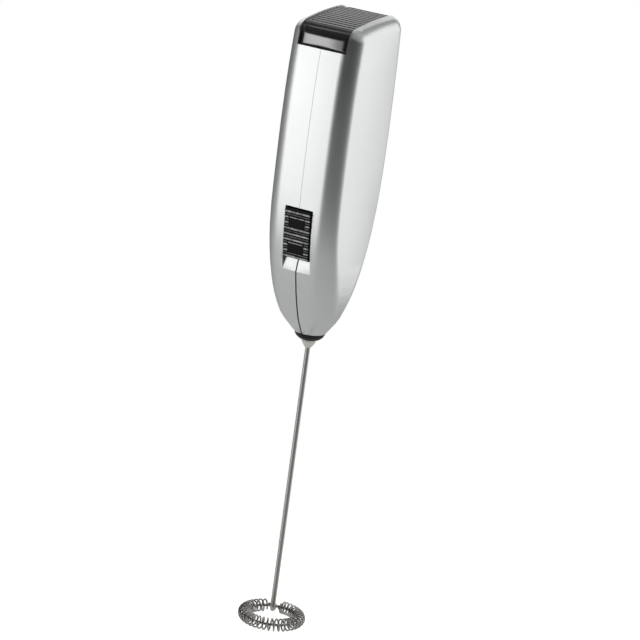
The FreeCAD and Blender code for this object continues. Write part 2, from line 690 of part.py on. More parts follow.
lid_form = housing_form("lid_form", ("lid_step",))
roof_cut(lid_form, "lid_trim", ("lid_step",))
lid_core = housing_form("lid_core", ("lid_step", "lid_wall"))
roof_cut(lid_core, "lid_core_trim", ("lid_step", "lid_wall"))
lid_block = common("lid_block", lid_form, fuse(
    "lid_span",
    block("lid_cap", ("-lid_half", "lid_half"), ("-front_4", "lid_rear"), (LID_UNDER, ROOF_TOP)),
    block("lid_lip", ("-lid_half", "lid_half"), ("-front_4", "-lid_front_wall"), (LID_FOOT, ROOF_TOP)),
))
lid_hollow = common("lid_hollow", lid_core, block(
    "lid_room", ("lid_wall - lid_half", "lid_half - lid_wall"), ("-front_4", "lid_rear - lid_wall"),
    (f"{LID_FOOT} - wall", ROOF_TOP)))
stake_ys = ("-cell_middle - stake_space", "-cell_middle + stake_space")
posts = [
    block(f"lid_post_{n}", ("-stake_radius * 2", "stake_radius * 2"),
          (f"{y} - stake_radius * 1.5", f"{y} + stake_radius * 1.5"),
          (f"{CONTACT_LEVEL} + metal", f"{ROOF_TOP} - lid_step - lid_wall"))
    for n, y in enumerate(stake_ys)
]
stakes = [
    rod(f"lid_stake_{n}", "stake_radius", f"{CONTACT_LEVEL} - metal / 2",
        f"{ROOF_TOP} - lid_step - lid_wall * 3", y=y)
    for n, y in enumerate(stake_ys)
]
tongue_grooves = [
    block(f"tongue_groove_{n}", span, ("-tongue_front - lid_gap", "lid_rear * 2"),
          (f"{TONGUE_LEVEL} - lid_gap", f"{TONGUE_LEVEL} + tongue_tall + lid_gap"))
    for n, span in enumerate((
        ("lid_half - tongue_depth", "lid_half * 2"), ("-lid_half * 2", "tongue_depth - lid_half")))
]
crown_drop = f"{ROOF_TOP} - roof_radius"
groove_cuts = []
for n in range(int(size("groove_count"))):
    turn = f"((groove_start - {n} * groove_pitch) / roof_radius * 180 / pi)"
    reach = "(roof_radius - lid_step - groove_depth)"
    groove = block(f"lid_groove_{n}", ("-groove_half", "groove_half"), ("0", "groove_width"), ("0", "wall"))
    groove.Placement.Rotation = FreeCAD.Rotation(V(1, 0, 0), 10)
    bind(groove, {
        ".Placement.Base.y": f"roof_apex - sin({turn}) * {reach} - cos({turn}) * groove_width / 2",
        ".Placement.Base.z": f"{crown_drop} + cos({turn}) * {reach} - sin({turn}) * groove_width / 2",
        ".Placement.Rotation.Angle": turn,
    })
    groove_cuts.append(groove)
posts_in = common("lid_posts", lid_form, fuse("lid_post_set", *posts, *stakes))
lid_body = fuse("lid_body", cut("lid_shell", lid_block, lid_hollow), posts_in)
piece(cut("lid_ribbed", lid_body, *groove_cuts, *tongue_grooves), "battery_lid")

contact_plate = block(
    "lid_contact_plate", ("-contact_half", "contact_half"),
    ("-(cell_middle + cell_radius + cell_gap / 2 + contact_half)",
     "-cell_middle + cell_radius + cell_gap / 2 + contact_half"),
    (CONTACT_LEVEL, f"{CONTACT_LEVEL} + metal"))
front_cell_y = "-(cell_middle + cell_radius + cell_gap / 2)"
rear_cell_y = "(-cell_middle + cell_radius + cell_gap / 2)"
dimples = [
    cone(f"contact_dimple_{n}", "contact_dimple * 0.7", "contact_dimple", f"{CELL_TOP} + contact_lift",
         CONTACT_LEVEL, y=y)
    for n, y in enumerate((front_cell_y, rear_cell_y))
]
stake_holes = [
    rod(f"stake_hole_{n}", "stake_radius", f"{CONTACT_LEVEL} - metal", f"{CONTACT_LEVEL} + metal * 2", y=y)
    for n, y in enumerate(stake_ys)
]
piece(cut("lid_strip", fuse("lid_strip_form", contact_plate, *dimples), *stake_holes), "lid_contact")

# ================================================================================================
# Switch, in its own tilted frame: X across, Y into the handle, Z up the slide
# ================================================================================================

knob_base = prism("knob_base", "YZ_Plane", [
    ("-knob_proud", "-knob_foot"), ("-knob_proud", "knob_top"), ("knob_sink", "knob_top"),
    ("knob_sink", "knob_bevel - knob_foot"), ("0", "-knob_foot"),
], "knob_half * 2")
stem = block("knob_stem", ("-stem_half", "stem_half"), ("knob_sink / 2", "slider_depth + slider_thick"),
             ("-stem_tall / 2", "stem_tall / 2"))
fields = []
for name, low in (("upper_field", "upper_field"), ("lower_field", "-lower_field")):
    fields.append(block(
        f"{name}_pad", ("-field_half", "field_half"), ("-knob_proud - field_rise", "0"),
        (low, f"{low} + field_tall")))
    fields.append(block(
        f"{name}_room", ("-field_half", "field_half"), ("-knob_proud - rib_rise * 2", "-knob_proud"),
        (low, f"{low} + field_tall")))
ribs = []
for n in range(int(size("rib_count"))):
    low = f"{n} * rib_pitch - rib_start"
    ribs.append(block(f"knob_rib_{n}", ("-knob_half", "knob_half"), ("-knob_proud - rib_rise", "0"),
                      (low, f"{low} + rib_width")))
rib_set = cut("knob_ribs", fuse("knob_rib_set", *ribs), fields[1], fields[3])
piece(tilted(fuse("knob", knob_base, stem, rib_set, fields[0], fields[2])), "switch_knob")

slider_plate = block(
    "slider_plate", ("-slider_half", "slider_half"), ("slider_depth", "slider_depth + slider_thick"),
    ("-slider_foot", "slider_top"))
stem_hole = block(
    "stem_hole", ("-stem_half - stem_fit", "stem_half + stem_fit"),
    ("slider_depth - wall", "slider_depth + wall * 2"),
    ("-stem_tall / 2 - stem_fit", "stem_tall / 2 + stem_fit"))
piece(tilted(cut("slider", slider_plate, stem_hole)), "switch_slider")
bridge_depth = "(slider_depth + slider_thick)"
bridge_face = f"({bridge_depth} + metal)"
bridge = prism("bridge", "YZ_Plane", [
    (bridge_depth, "-bridge_foot"), (bridge_face, "-bridge_foot"), (bridge_face, "bridge_top"),
    (bridge_depth, "bridge_top"),
], "bridge_half * 2")
piece(tilted(bridge), "switch_bridge")

# ================================================================================================
# Cells and their contacts
# ================================================================================================

front_low = CELL_FLOOR
rear_low = f"({CELL_FLOOR} + nub_tall)"
for name, y, low, nub_low, nub_high in (
    ("front_cell", front_cell_y, front_low, f"{front_low} + cell_tall - wall", CELL_TOP),
    ("rear_cell", rear_cell_y, rear_low, CELL_FLOOR, f"{rear_low} + wall"),
):
    can = rod(f"{name}_can", "cell_radius", low, f"{low} + cell_tall", y=y)
    nub = rod(f"{name}_nub", "nub_radius", nub_low, nub_high, y=y)
    piece(fuse(f"{name}_body", can, nub), name)

spring_turns, spring_wide, spring_narrow = size("spring_turns"), size("spring_wide"), size("spring_narrow")
spring_steps = int(spring_turns * 14)
spring_low = size(TRAY_FLOOR) + size("metal") + size("spring_wire")
spring_high = size(CELL_FLOOR) - size("spring_wire")


def spring_centre(k):
    """The contact spring's centre line, a helix that narrows as it climbs."""
    share = k / spring_steps
    radius = spring_wide + share * (spring_narrow - spring_wide)
    turn = TAU * spring_turns * share
    height = spring_low + share * (spring_high - spring_low)
    return V(radius * math.cos(turn), radius * math.sin(turn), height)


spring = wire_loft("contact_spring", spring_centre, spring_steps, size("spring_wire"), 6)
bind(spring, {".Placement.Base.y": front_cell_y})
spring_foot = block(
    "spring_foot", ("-plate_half", "plate_half"),
    (f"{front_cell_y} - plate_half", f"{front_cell_y} + plate_half"),
    (TRAY_FLOOR, f"{TRAY_FLOOR} + metal"))
spring_seat = rod(
    "spring_seat", "spring_wire", f"{TRAY_FLOOR} + metal / 2", f"{TRAY_FLOOR} + metal + spring_wire",
    x="spring_wide", y=front_cell_y)
piece(fuse("spring_contact_body", spring_foot, spring_seat, spring), "spring_contact")
button_foot = block(
    "button_foot", ("-plate_half", "plate_half"),
    (f"{rear_cell_y} - plate_half + metal", f"{rear_cell_y} + plate_half"),
    (TRAY_FLOOR, f"{TRAY_FLOOR} + metal"))
button = cone(
    "contact_button", "nub_radius * 1.4", "nub_radius * 0.8", f"{TRAY_FLOOR} + metal / 2", CELL_FLOOR,
    y=rear_cell_y)
piece(fuse("button_contact_body", button_foot, button), "button_contact")

# ================================================================================================
# Motor
# ================================================================================================


def motor_form(name, less, low, high):
    """The motor's outline, a circle with two flats, taken in by a rule."""
    return common(
        name, rod(f"{name}_round", f"motor_radius - ({less})", low, high),
        block(f"{name}_flats", ("-motor_radius", "motor_radius"),
              (f"{less} - motor_flat", f"motor_flat - ({less})"), (low, high)))


can_form = fuse("can_form", motor_form("can_outside", "0", "motor_foot", MOTOR_TOP),
                rod("can_boss", "boss_radius", "motor_foot - boss_tall", "motor_foot + motor_skin"))
can_hollow = motor_form("can_hollow", "motor_skin", "motor_foot + motor_skin", f"{MOTOR_TOP} + metal")
can_hole = rod("can_hole", "bush_radius", "motor_foot - boss_tall * 2", "motor_foot + wall")
piece(cut("can_body", can_form, can_hollow, can_hole), "motor_can")

spindle_room = "(spindle_radius + spindle_fit)"
bush_low = "(motor_foot - boss_tall)"
bush = rod("bush_form", "bush_radius", bush_low, f"{bush_low} + bush_tall")
bush_hole = rod("bush_hole", spindle_room, f"{bush_low} - wall", f"{bush_low} + bush_tall * 2")
piece(cut("bush_body", bush, bush_hole), "motor_bush")

magnet_room = motor_form("magnet_room", "motor_skin", MAGNET_FOOT, f"{MAGNET_FOOT} + magnet_tall")
magnet_hole = rod("magnet_hole", "rotor_radius + magnet_gap", "motor_foot", MOTOR_TOP)
magnet_split = block("magnet_gap_block", ("-magnet_split", "magnet_split"), ("-motor_radius", "motor_radius"),
                     ("motor_foot", MOTOR_TOP))
piece(cut("magnets", magnet_room, magnet_hole, magnet_split), "motor_magnets")

plug_fit = "motor_skin + spindle_fit"
cap_outside = fuse(
    "cap_outside", motor_form("cap_head", "0", MOTOR_TOP, CAP_TOP),
    motor_form("cap_plug_form", plug_fit, f"{MOTOR_TOP} - cap_plug", f"{MOTOR_TOP} + metal"))
cap_room = motor_form(
    "cap_room", f"{plug_fit} + cap_skin", f"{MOTOR_TOP} - cap_plug * 2", f"{CAP_TOP} - cap_skin")
cap_bore = rod("cap_bore", spindle_room, MOTOR_TOP, f"{CAP_TOP} + wall")
terminals = [
    block(f"terminal_{n}", (low, high), ("-terminal_half", "terminal_half"), (BRUSH_LEVEL, TERMINAL_TOP))
    for n, (low, high) in enumerate((
        ("terminal_at", "terminal_at + metal"), ("-terminal_at - metal", "-terminal_at")))
]
piece(cut("cap_body", cap_outside, cap_room, cap_bore, *terminals), "motor_end_cap")
piece(group("terminal_pair", *terminals), "motor_terminals")

brush_face = "(commutator_radius + brush_gap)"
brushes = []
for n in range(2):
    leaf_x = ("-commutator_radius", "terminal_at") if n == 0 else ("-terminal_at", "commutator_radius")
    leaf_y = (brush_face, f"{brush_face} + metal") if n == 0 else (f"-{brush_face} - metal", f"-{brush_face}")
    foot_x = ("terminal_at - metal", "terminal_at") if n == 0 else ("-terminal_at", "metal - terminal_at")
    foot_y = ("0", f"{brush_face} + metal") if n == 0 else (f"-{brush_face} - metal", "0")
    height = (BRUSH_LEVEL, f"{BRUSH_LEVEL} + brush_tall")
    brushes.append(fuse(f"brush_{n}", block(f"brush_leaf_{n}", leaf_x, leaf_y, height),
                        block(f"brush_foot_{n}", foot_x, foot_y, height)))
piece(group("brush_pair", *brushes), "motor_brushes")

spindle = rod("spindle", "spindle_radius", SPINDLE_FOOT, f"{CAP_TOP} + spindle_end")
piece(spindle, "motor_shaft")
rotor_top = f"({ROTOR_FOOT} + rotor_tall)"
rotor_parts = [
    rod("rotor_hub_rod", "rotor_hub", ROTOR_FOOT, rotor_top),
    cut("rotor_rim", rod("rotor_outside", "rotor_radius", ROTOR_FOOT, rotor_top),
        rod("rotor_inside", "rotor_radius - pole_cap", "motor_foot", MOTOR_TOP)),
]
rotor_cuts = [rod("rotor_bore", "spindle_radius", "motor_foot", MOTOR_TOP)]
windings = []
for n in range(3):
    arm = block(f"pole_arm_{n}", ("0", "rotor_radius - pole_cap / 2"),
                ("-pole_width / 2", "pole_width / 2"), (ROTOR_FOOT, rotor_top))
    slot = block(f"pole_slot_{n}", ("0", "rotor_radius * 2"), ("-pole_slot / 2", "pole_slot / 2"),
                 ("motor_foot", MOTOR_TOP))
    coil_block = block(
        f"winding_block_{n}", ("rotor_hub", "winding_reach"), ("-winding_half", "winding_half"),
        (f"{ROTOR_FOOT} - winding_rise", f"{rotor_top} + winding_rise"))
    for item, turn in ((arm, 120 * n), (slot, 120 * n + 60)):
        around = FreeCAD.Rotation(V(0, 0, 1), turn)
        holder = group(f"{item.Name}_turned", item)
        holder.Placement = FreeCAD.Placement(V(), around)
        if item is arm:
            rotor_parts.append(holder)
            holder_winding = cut(f"winding_{n}", coil_block, block(
                f"winding_core_{n}", ("0", "rotor_radius"), ("-pole_width / 2", "pole_width / 2"),
                (ROTOR_FOOT, rotor_top)))
            holder_winding.Placement = FreeCAD.Placement(V(), around)
            windings.append(holder_winding)
        else:
            rotor_cuts.append(holder)
rim_cut = cut("rotor_rim_cut", rotor_parts[1], *rotor_cuts[1:])
rotor_form = fuse("rotor_form", rotor_parts[0], rim_cut, *rotor_parts[2:])
piece(cut("rotor", rotor_form, rotor_cuts[0]), "rotor_core")
piece(group("winding_set", *windings), "rotor_windings")
commutator = rod("commutator_form", "commutator_radius", COMMUTATOR_FOOT, MOTOR_TOP)
commutator_bore = rod("commutator_bore", "spindle_radius", "motor_foot", CAP_TOP)
piece(cut("commutator_body", commutator, commutator_bore), "commutator")

# ================================================================================================
# Nose ring, hub and whisk
# ================================================================================================

nose_form = fuse(
    "nose_form",
    cone("nose_chin", "nose_tip", "nose_shoulder", "0", "nose_shoulder_level"),
    cone("nose_cone", "nose_shoulder", "nose_radius", "nose_shoulder_level", "nose_tall"),
    rod("nose_sleeve_rod", "nose_sleeve", "nose_tall / 2", f"{CAVITY_FLOOR} + nose_fit + nose_flange_tall"),
    rod("nose_flange_rod", "nose_flange", f"{CAVITY_FLOOR} + nose_fit",
        f"{CAVITY_FLOOR} + nose_fit + nose_flange_tall"))
nose_hole_rod = rod("nose_bore_rod", "nose_bore", "-wall", f"{CAVITY_FLOOR} * 2")
piece(cut("nose_body", nose_form, nose_hole_rod), "nose_ring")

hub_form = fuse(
    "hub_form", rod("hub_rod", "hub_radius", "-hub_drop", HUB_TOP),
    cone("hub_cone", "hub_tip_radius", "hub_radius", "-hub_drop - hub_tip", "-hub_drop"))
hub_shaft_hole = rod("hub_shaft_hole", "shaft_radius", "-hub_drop - hub_tip * 2", SHAFT_TOP)
hub_spindle_hole = rod("hub_spindle_hole", "spindle_radius", SPINDLE_FOOT, f"{HUB_TOP} * 2")
piece(cut("hub_body", hub_form, hub_shaft_hole, hub_spindle_hole), "coupling_hub")

whisk = new_body("whisk_wire")
path = new_sketch(whisk, "shaft_path", "YZ_Plane")
drop, bend, level, reach = size("whisk_drop"), size("arm_bend"), size("bend_level"), size("ring_radius")
bend_centre = V(bend, level - drop, 0)
arm_end = V(reach, -drop, 0)
line_of_sight = arm_end - bend_centre
swing = math.atan2(line_of_sight.y, line_of_sight.x) - math.acos(bend / line_of_sight.Length)
touch = bend_centre + V(math.cos(swing), math.sin(swing), 0) * bend
start = V(0, size(SHAFT_TOP), 0)
turn_off = V(0, bend_centre.y, 0)
path.addGeometry(Part.LineSegment(start, turn_off), False)
path.addGeometry(Part.ArcOfCircle(Part.Circle(bend_centre, V(0, 0, 1), bend), math.pi, TAU + swing), False)
path.addGeometry(Part.LineSegment(touch, arm_end), False)
join(path, 0, 2, 1, 1, "Tangent")
join(path, 1, 2, 2, 1, "Tangent")
path.addConstraint(Sketcher.Constraint("Vertical", 0))
fix_point(path, 0, 1, None, SHAFT_TOP)
fix_point(path, 1, 3, "arm_bend", "bend_level - whisk_drop")
fix_radius(path, 1, "arm_bend")
fix_point(path, 2, 2, "ring_radius", "-whisk_drop")
profile = new_sketch(whisk, "shaft_profile", "XY_Plane", SHAFT_TOP)
profile.addGeometry(Part.Circle(V(0, 0, 0), V(0, 0, 1), size("shaft_radius")), False)
join(profile, 0, 3, -1, 1)
fix_radius(profile, 0, "shaft_radius")
shaft_pipe = whisk.newObject("PartDesign::AdditivePipe", "shaft_pipe")
shaft_pipe.Profile = profile
shaft_pipe.Spine = path
RING_STEPS = 60


def ring_centre(k):
    """The core wire's centre line, a circle."""
    turn = TAU * k / RING_STEPS
    return V(core_radius * math.cos(turn), core_radius * math.sin(turn), 0)


core_radius = size("ring_radius")
ring = wire_loft("ring_core", ring_centre, RING_STEPS, size("ring_wire"), 8, closed=True)
bind(ring, {".Placement.Base.z": "-whisk_drop"})
arm = group("shaft_turned", whisk)
arm.Placement = FreeCAD.Placement(V(), FreeCAD.Rotation(V(0, 0, 1), size("arm_turn")))
bind(arm, {".Placement.Rotation.Angle": "arm_turn"})
piece(cut("shaft_body", arm, ring), "whisk_shaft")
piece(ring, "whisk_ring")

COIL_STEPS_PER_TURN = 8
coil_turns, coil_radius = int(size("coil_turns")), size("coil_radius")
coil_steps = coil_turns * COIL_STEPS_PER_TURN
coil_open = math.radians(size("coil_gap"))
coil_start = TAU / 4 + math.radians(size("arm_turn")) + coil_open / 2
crowded_turns, crowded_pitch = size("crowded_turns"), math.radians(size("crowded_pitch"))
coil_pitch = (TAU - coil_open - crowded_turns * crowded_pitch) / (coil_turns - crowded_turns)
coil_tight = size("ring_wire") + size("coil_wire")


def coil_centre(k):
    """The coil's centre line, a helix bent into the ring's circle that closes on its core at both ends."""
    turns = k / COIL_STEPS_PER_TURN
    crowded = max(turns - coil_turns + crowded_turns, 0.0)
    around = coil_start + (turns - crowded) * coil_pitch + crowded * crowded_pitch
    turn = TAU * turns
    to_end = min(k, coil_steps - k) / COIL_STEPS_PER_TURN
    opened = min(max((to_end - 0.4) / 0.9, 0.0), 1.0)
    opened = opened * opened * (3 - 2 * opened)
    radius = coil_tight + opened * (coil_radius - coil_tight)
    outward = core_radius - radius * math.cos(turn)
    return V(outward * math.cos(around), outward * math.sin(around), radius * math.sin(turn))


coil = wire_loft("coil_wire_loft", coil_centre, coil_steps, size("coil_wire"), 5)
bind(coil, {".Placement.Base.z": "-whisk_drop"})
piece(coil, "whisk_coil")

# ================================================================================================
# Chassis and strips
# ================================================================================================

bed_depth = "(slider_depth + slider_thick + metal * 2 + bed_gap)"
bed_face = f"({bed_depth} - metal)"


def slab(name, half, near, far, low, high):
    """A block in the switch's frame, as a padded body."""
    return prism(name, "YZ_Plane", [(near, low), (far, low), (far, high), (near, high)], f"({half}) * 2")


guide_half = "(slider_half + guide_gap + guide_thick)"
bed_low, bed_high = "-window_foot", "slider_top - metal * 2"
switch_room = tilted(slab("switch_room", f"{guide_half} + metal", "-knob_half * 2", bed_depth,
                          "-window_foot - knob_half", "slider_top + tray_thick * 2"))
bed = tilted(slab("switch_bed", guide_half, bed_depth, f"{bed_depth} + bed_thick", bed_low, bed_high))
guides = tilted(cut(
    "slider_guides", slab("guide_block", guide_half, "slider_depth", bed_depth, bed_low, bed_high),
    slab("guide_room", "slider_half + guide_gap", "0", bed_depth, f"({bed_low}) * 2", f"({bed_high}) * 2")))

form_y = ("-front_4", "front_4")
form_x = ("-rest_half", "rest_half")
plate_thick = "tray_thick * 1.6"
plates = [
    block("motor_plate", form_x, form_y, (f"motor_foot - {plate_thick}", "motor_foot")),
    block("tray_plate", form_x, form_y, (f"{TRAY_FLOOR} - tray_thick", TRAY_FLOOR)),
]
cradle_near = "(motor_flat + motor_fit)"
cradle_far = "(motor_flat + motor_fit + tray_thick)"
cradle_x, cradle_z = ("-motor_radius", "motor_radius"), ("motor_foot", CAP_TOP)
walls = [
    block("cradle_front", cradle_x, (f"-{cradle_far}", f"-{cradle_near}"), cradle_z),
    block("cradle_rear", cradle_x, (cradle_near, cradle_far), cradle_z),
]
cheek_near = "motor_radius * 0.9"
cheek_y = (f"-{cradle_far}", cradle_far)
for n, (low, high) in enumerate((("-rest_half", f"-{cheek_near}"), (cheek_near, "rest_half"))):
    walls.append(block(f"cheek_{n}", (low, high), cheek_y, ("motor_foot", TRAY_FLOOR)))
for n, (low, high) in enumerate((
    ("-tray_half - tray_side", "-tray_half"), ("tray_half", "tray_half + tray_side"),
)):
    walls.append(block(f"tray_wall_{n}", (low, high), ("-front_4", "front_4"),
                       (f"{TRAY_FLOOR} - tray_thick / 2", TRAY_TOP)))
for n, (low, high) in enumerate((
    ("-stem_tall", "-stem_tall + tray_thick"), ("stem_tall - tray_thick", "stem_tall"),
)):
    walls.append(block(f"bed_web_{n}", (low, high), ("-front_4", f"-{cradle_far} + metal"),
                       ("motor_foot + tray_thick", f"{TRAY_FLOOR} - tray_thick / 2")))
frame = common(
    "frame", housing_form("chassis_form", ("wall", "form_fit")),
    fuse("frame_set", cut("frame_plates", fuse("frame_walls", *plates, *walls), switch_room), bed, guides))
motor_room = motor_form("motor_room", "-motor_fit", "motor_foot", f"{CAP_TOP} + wall")
boss_room = rod("boss_room", "boss_radius + motor_fit", CAVITY_FLOOR, "motor_foot + wall")



def strip_y(height):
    """How far back the strips on the bed lie at a height."""
    depth = f"({bed_depth} - metal / 2)"
    return f"({depth} / cos(switch_tilt) - tan(switch_tilt) * ({height} - switch_level) - switch_front)"


upper_strip_local = tilted(slab("upper_strip", "strip_half", bed_face, bed_depth, "strip_split",
                                "slider_top - metal"))
link_z = (f"{TRAY_FLOOR} - tray_thick - metal", f"{TRAY_FLOOR} - tray_thick")
upper_link = block("upper_link", ("-strip_half", "strip_half"),
                   (strip_y(f"({TRAY_FLOOR} - tray_thick)"), rear_cell_y), link_z)
upper_riser = block("upper_riser", ("-strip_half", "strip_half"), (f"{rear_cell_y} - metal", rear_cell_y),
                    (f"{TRAY_FLOOR} - tray_thick - metal", TRAY_FLOOR))
upper_space = block("upper_space", form_x, form_y, ("motor_foot", f"{TRAY_FLOOR} - tray_thick"))
upper_strip_cut = common("upper_strip_cut", upper_strip_local, upper_space)
feed_strip = fuse("feed_strip_body", upper_strip_cut, upper_link, upper_riser)
piece(feed_strip, "feed_strip")

lower_top = "strip_split - strip_break"
lower_foot = "-window_foot + bed_thick"
lower_strip = slab("lower_strip", "strip_half", bed_face, bed_depth, lower_foot, lower_top)
side_low, side_high = "(bridge_half + metal * 1.5)", "(terminal_at - metal)"
lower_link = block(
    "lower_link", ("0", side_high), (bed_face, bed_depth), (lower_foot, f"{lower_foot} + strip_half"))
lower_riser = block(
    "lower_riser", (side_low, side_high), (bed_face, bed_depth), (lower_foot, "slider_top - strip_half * 2"))
lower_local = tilted(fuse("lower_strip_set", lower_strip, lower_link, lower_riser))
link_span = (LINK_LEVEL, f"{LINK_LEVEL} + metal")
lower_back = block(
    "lower_back", (side_low, "terminal_at"), (strip_y(LINK_LEVEL), "terminal_half / 2"), link_span)
piece(fuse("motor_strip_body", lower_local, lower_back), "switch_strip")

return_riser = block(
    "return_riser", ("-terminal_at", f"-{side_low}"),
    (f"{front_cell_y} - metal / 2", f"{front_cell_y} + metal / 2"),
    (LINK_LEVEL, TRAY_FLOOR))
return_link = block(
    "return_link", ("-terminal_at", f"-{side_low}"), (front_cell_y, "terminal_half / 2"), link_span)
piece(fuse("return_strip_body", return_riser, return_link), "motor_strip")

piece(cut("chassis_body", frame, motor_room, boss_room, *(item for item in PIECES if item.Label in (
    "feed_strip", "switch_strip", "motor_strip"))), "chassis")

# ================================================================================================
# Checks and files
# ================================================================================================

doc.recompute()
faults = [
    f"{item.Name}: {item.getStatusString()}" for item in doc.Objects
    if "Invalid" in item.State or "Error" in item.State
]
if faults:
    raise RuntimeError("not recomputed: " + "; ".join(faults))
for item in PIECES:
    shape = item.Shape
    if shape.isNull() or not shape.isValid() or not shape.Solids:
        raise RuntimeError(f"{item.Label} has no valid solid")

os.makedirs("parts", exist_ok=True)
for item in PIECES:
    item.Shape.exportStep(f"parts/{item.Label}.step")
    print(item.Label, len(item.Shape.Solids), "solids", round(item.Shape.Volume, 1), "mm3")
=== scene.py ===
# %% [markdown]
# # A battery milk frother
# A motor in a slim two-part handle spins a wire whisk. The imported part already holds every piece
# in its place. This notebook lays finer surfaces over the pieces that show, mixes a finish for
# each of them, and lights them in a small studio. Lengths are in metres, or in millimetres where a
# comment says so. +Z runs up the drive axis, -Y looks out of the switch, and the origin lies under
# the nose ring.

# %% Load the part
import math

import bmesh
import bpy
import numpy as np
from mathutils import Matrix, Vector


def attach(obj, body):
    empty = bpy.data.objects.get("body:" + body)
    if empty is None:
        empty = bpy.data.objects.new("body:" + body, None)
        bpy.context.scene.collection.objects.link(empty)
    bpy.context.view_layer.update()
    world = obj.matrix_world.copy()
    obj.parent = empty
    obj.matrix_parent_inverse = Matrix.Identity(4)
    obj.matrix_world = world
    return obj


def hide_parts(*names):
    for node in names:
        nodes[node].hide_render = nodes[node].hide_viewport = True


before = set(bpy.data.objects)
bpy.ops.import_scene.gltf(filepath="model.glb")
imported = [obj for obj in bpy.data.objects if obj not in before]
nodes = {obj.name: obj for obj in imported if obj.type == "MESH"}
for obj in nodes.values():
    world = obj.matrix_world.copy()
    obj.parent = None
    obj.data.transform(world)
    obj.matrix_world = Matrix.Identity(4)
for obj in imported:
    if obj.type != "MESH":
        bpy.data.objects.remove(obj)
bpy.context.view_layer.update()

MM = 0.001
TAU = 2 * math.pi
print("pieces of the part:", len(nodes))

# %% [markdown]
# ## Surfaces from grids
# Nearly every round piece can be written as a grid: rows run along it and columns run around it.
# One helper turns any such grid into a mesh, so that each piece needs only its own formula.

# %% A piece from a grid of points
def add_object(name, data):
    """Put a mesh, a lamp or a camera into the scene as an object."""
    item = bpy.data.objects.new(name, data)
    bpy.context.scene.collection.objects.link(item)
    return item


def add_piece(name, mesh, body):
    """Put a mesh into the scene as one piece that moves with a body."""
    item = add_object(name, mesh)
    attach(item, body)
    return item


def grid_piece(name, points, body, ring=False, sharp=40.0):
    """A closed piece from points[row, column], whose columns close round it.

    The face (r, c) joins the points (r, c), (r, c + 1), (r + 1, c + 1) and (r + 1, c), so it looks
    outwards when columns turn counterclockwise about the rows' direction. The rows close on
    themselves in a ring. Otherwise one flat face closes either end."""
    rows, columns = points.shape[:2]
    r = np.arange(rows if ring else rows - 1)[:, None]
    c = np.arange(columns)[None, :]
    next_r, next_c = (r + 1) % rows, (c + 1) % columns
    corners = (r * columns + c, r * columns + next_c, next_r * columns + next_c, next_r * columns + c)
    faces = np.stack(corners, axis=-1).reshape(-1, 4).tolist()
    if not ring:
        faces.append(list(range(columns - 1, -1, -1)))
        faces.append(list(range((rows - 1) * columns, rows * columns)))
    mesh = bpy.data.meshes.new(name)
    mesh.from_pydata(points.reshape(-1, 3), [], faces)
    mesh.polygons.foreach_set("use_smooth", np.ones(len(faces), dtype=bool))
    mesh.set_sharp_from_angle(angle=math.radians(sharp))
    mesh.update()
    print(name, "has", rows, "rows of", columns, "points")
    return add_piece(name, mesh, body)


# %% A wire along a line
def wire(name, line, radius, sides, hint, body, ring=False):
    """A round wire along a line of points.

    With T the line's direction, S the part of the hint square to T, made one long, and U = T x S,
    a ring of the wire is point + radius (S cos a + U sin a), for a once round the circle."""
    ahead = np.roll(line, -1, axis=0) - np.roll(line, 1, axis=0)
    if not ring:
        ahead[0], ahead[-1] = line[1] - line[0], line[-1] - line[-2]
    ahead /= np.linalg.norm(ahead, axis=1, keepdims=True)
    side = hint - ahead * np.sum(hint * ahead, axis=1, keepdims=True)
    side /= np.linalg.norm(side, axis=1, keepdims=True)
    lift = np.cross(ahead, side)
    turn = (np.arange(sides) * TAU / sides)[None, :, None]
    rings = line[:, None] + radius * (np.cos(turn) * side[:, None] + np.sin(turn) * lift[:, None])
    return grid_piece(name, rings, body, ring)


# %% A turned piece
def eased(corners, ease, steps=6):
    """A closed outline with its corners rounded off.

    A corner P with unit directions a and b to its neighbours becomes the short curve
    P + ease ((1 - t)^2 a + t^2 b), for t from 0 to 1."""
    corners = np.asarray(corners, float) * MM
    before, after = np.roll(corners, 1, axis=0) - corners, np.roll(corners, -1, axis=0) - corners
    before /= np.linalg.norm(before, axis=1, keepdims=True)
    after /= np.linalg.norm(after, axis=1, keepdims=True)
    t = np.linspace(0, 1, steps)[None, :, None]
    ease = np.broadcast_to(np.asarray(ease, float) * MM, len(corners))[:, None, None]
    curve = corners[:, None] + ease * ((1 - t) ** 2 * before[:, None] + t ** 2 * after[:, None])
    return curve.reshape(-1, 2)


def turned(name, outline, sides, body, ring=True):
    """A turned piece: each outline point (r, h) sweeps to (r cos a, r sin a, h) round the drive axis.

    The outline runs counterclockwise, up on its outer side, so that the faces look outwards."""
    turn = np.arange(sides) * TAU / sides
    radius, height = outline[:, :1], outline[:, 1:]
    points = np.stack([radius * np.cos(turn), radius * np.sin(turn), height + 0 * turn], axis=-1)
    return grid_piece(name, points, body, ring)


# %% [markdown]
# ## Edges that catch the light
# A moulded edge is never quite sharp, and the thin bright line along it shows how small the thing
# is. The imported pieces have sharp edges. A modifier could round all of them alike, but the joint
# between the shells is tighter than their other edges. So each edge carries a weight of its own,
# and a bevel modifier follows the weights.

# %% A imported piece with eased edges
TOUCHING, BEVEL_STEPS = 0.001 * MM, 2
CUT_FRONT = -16.4 * MM


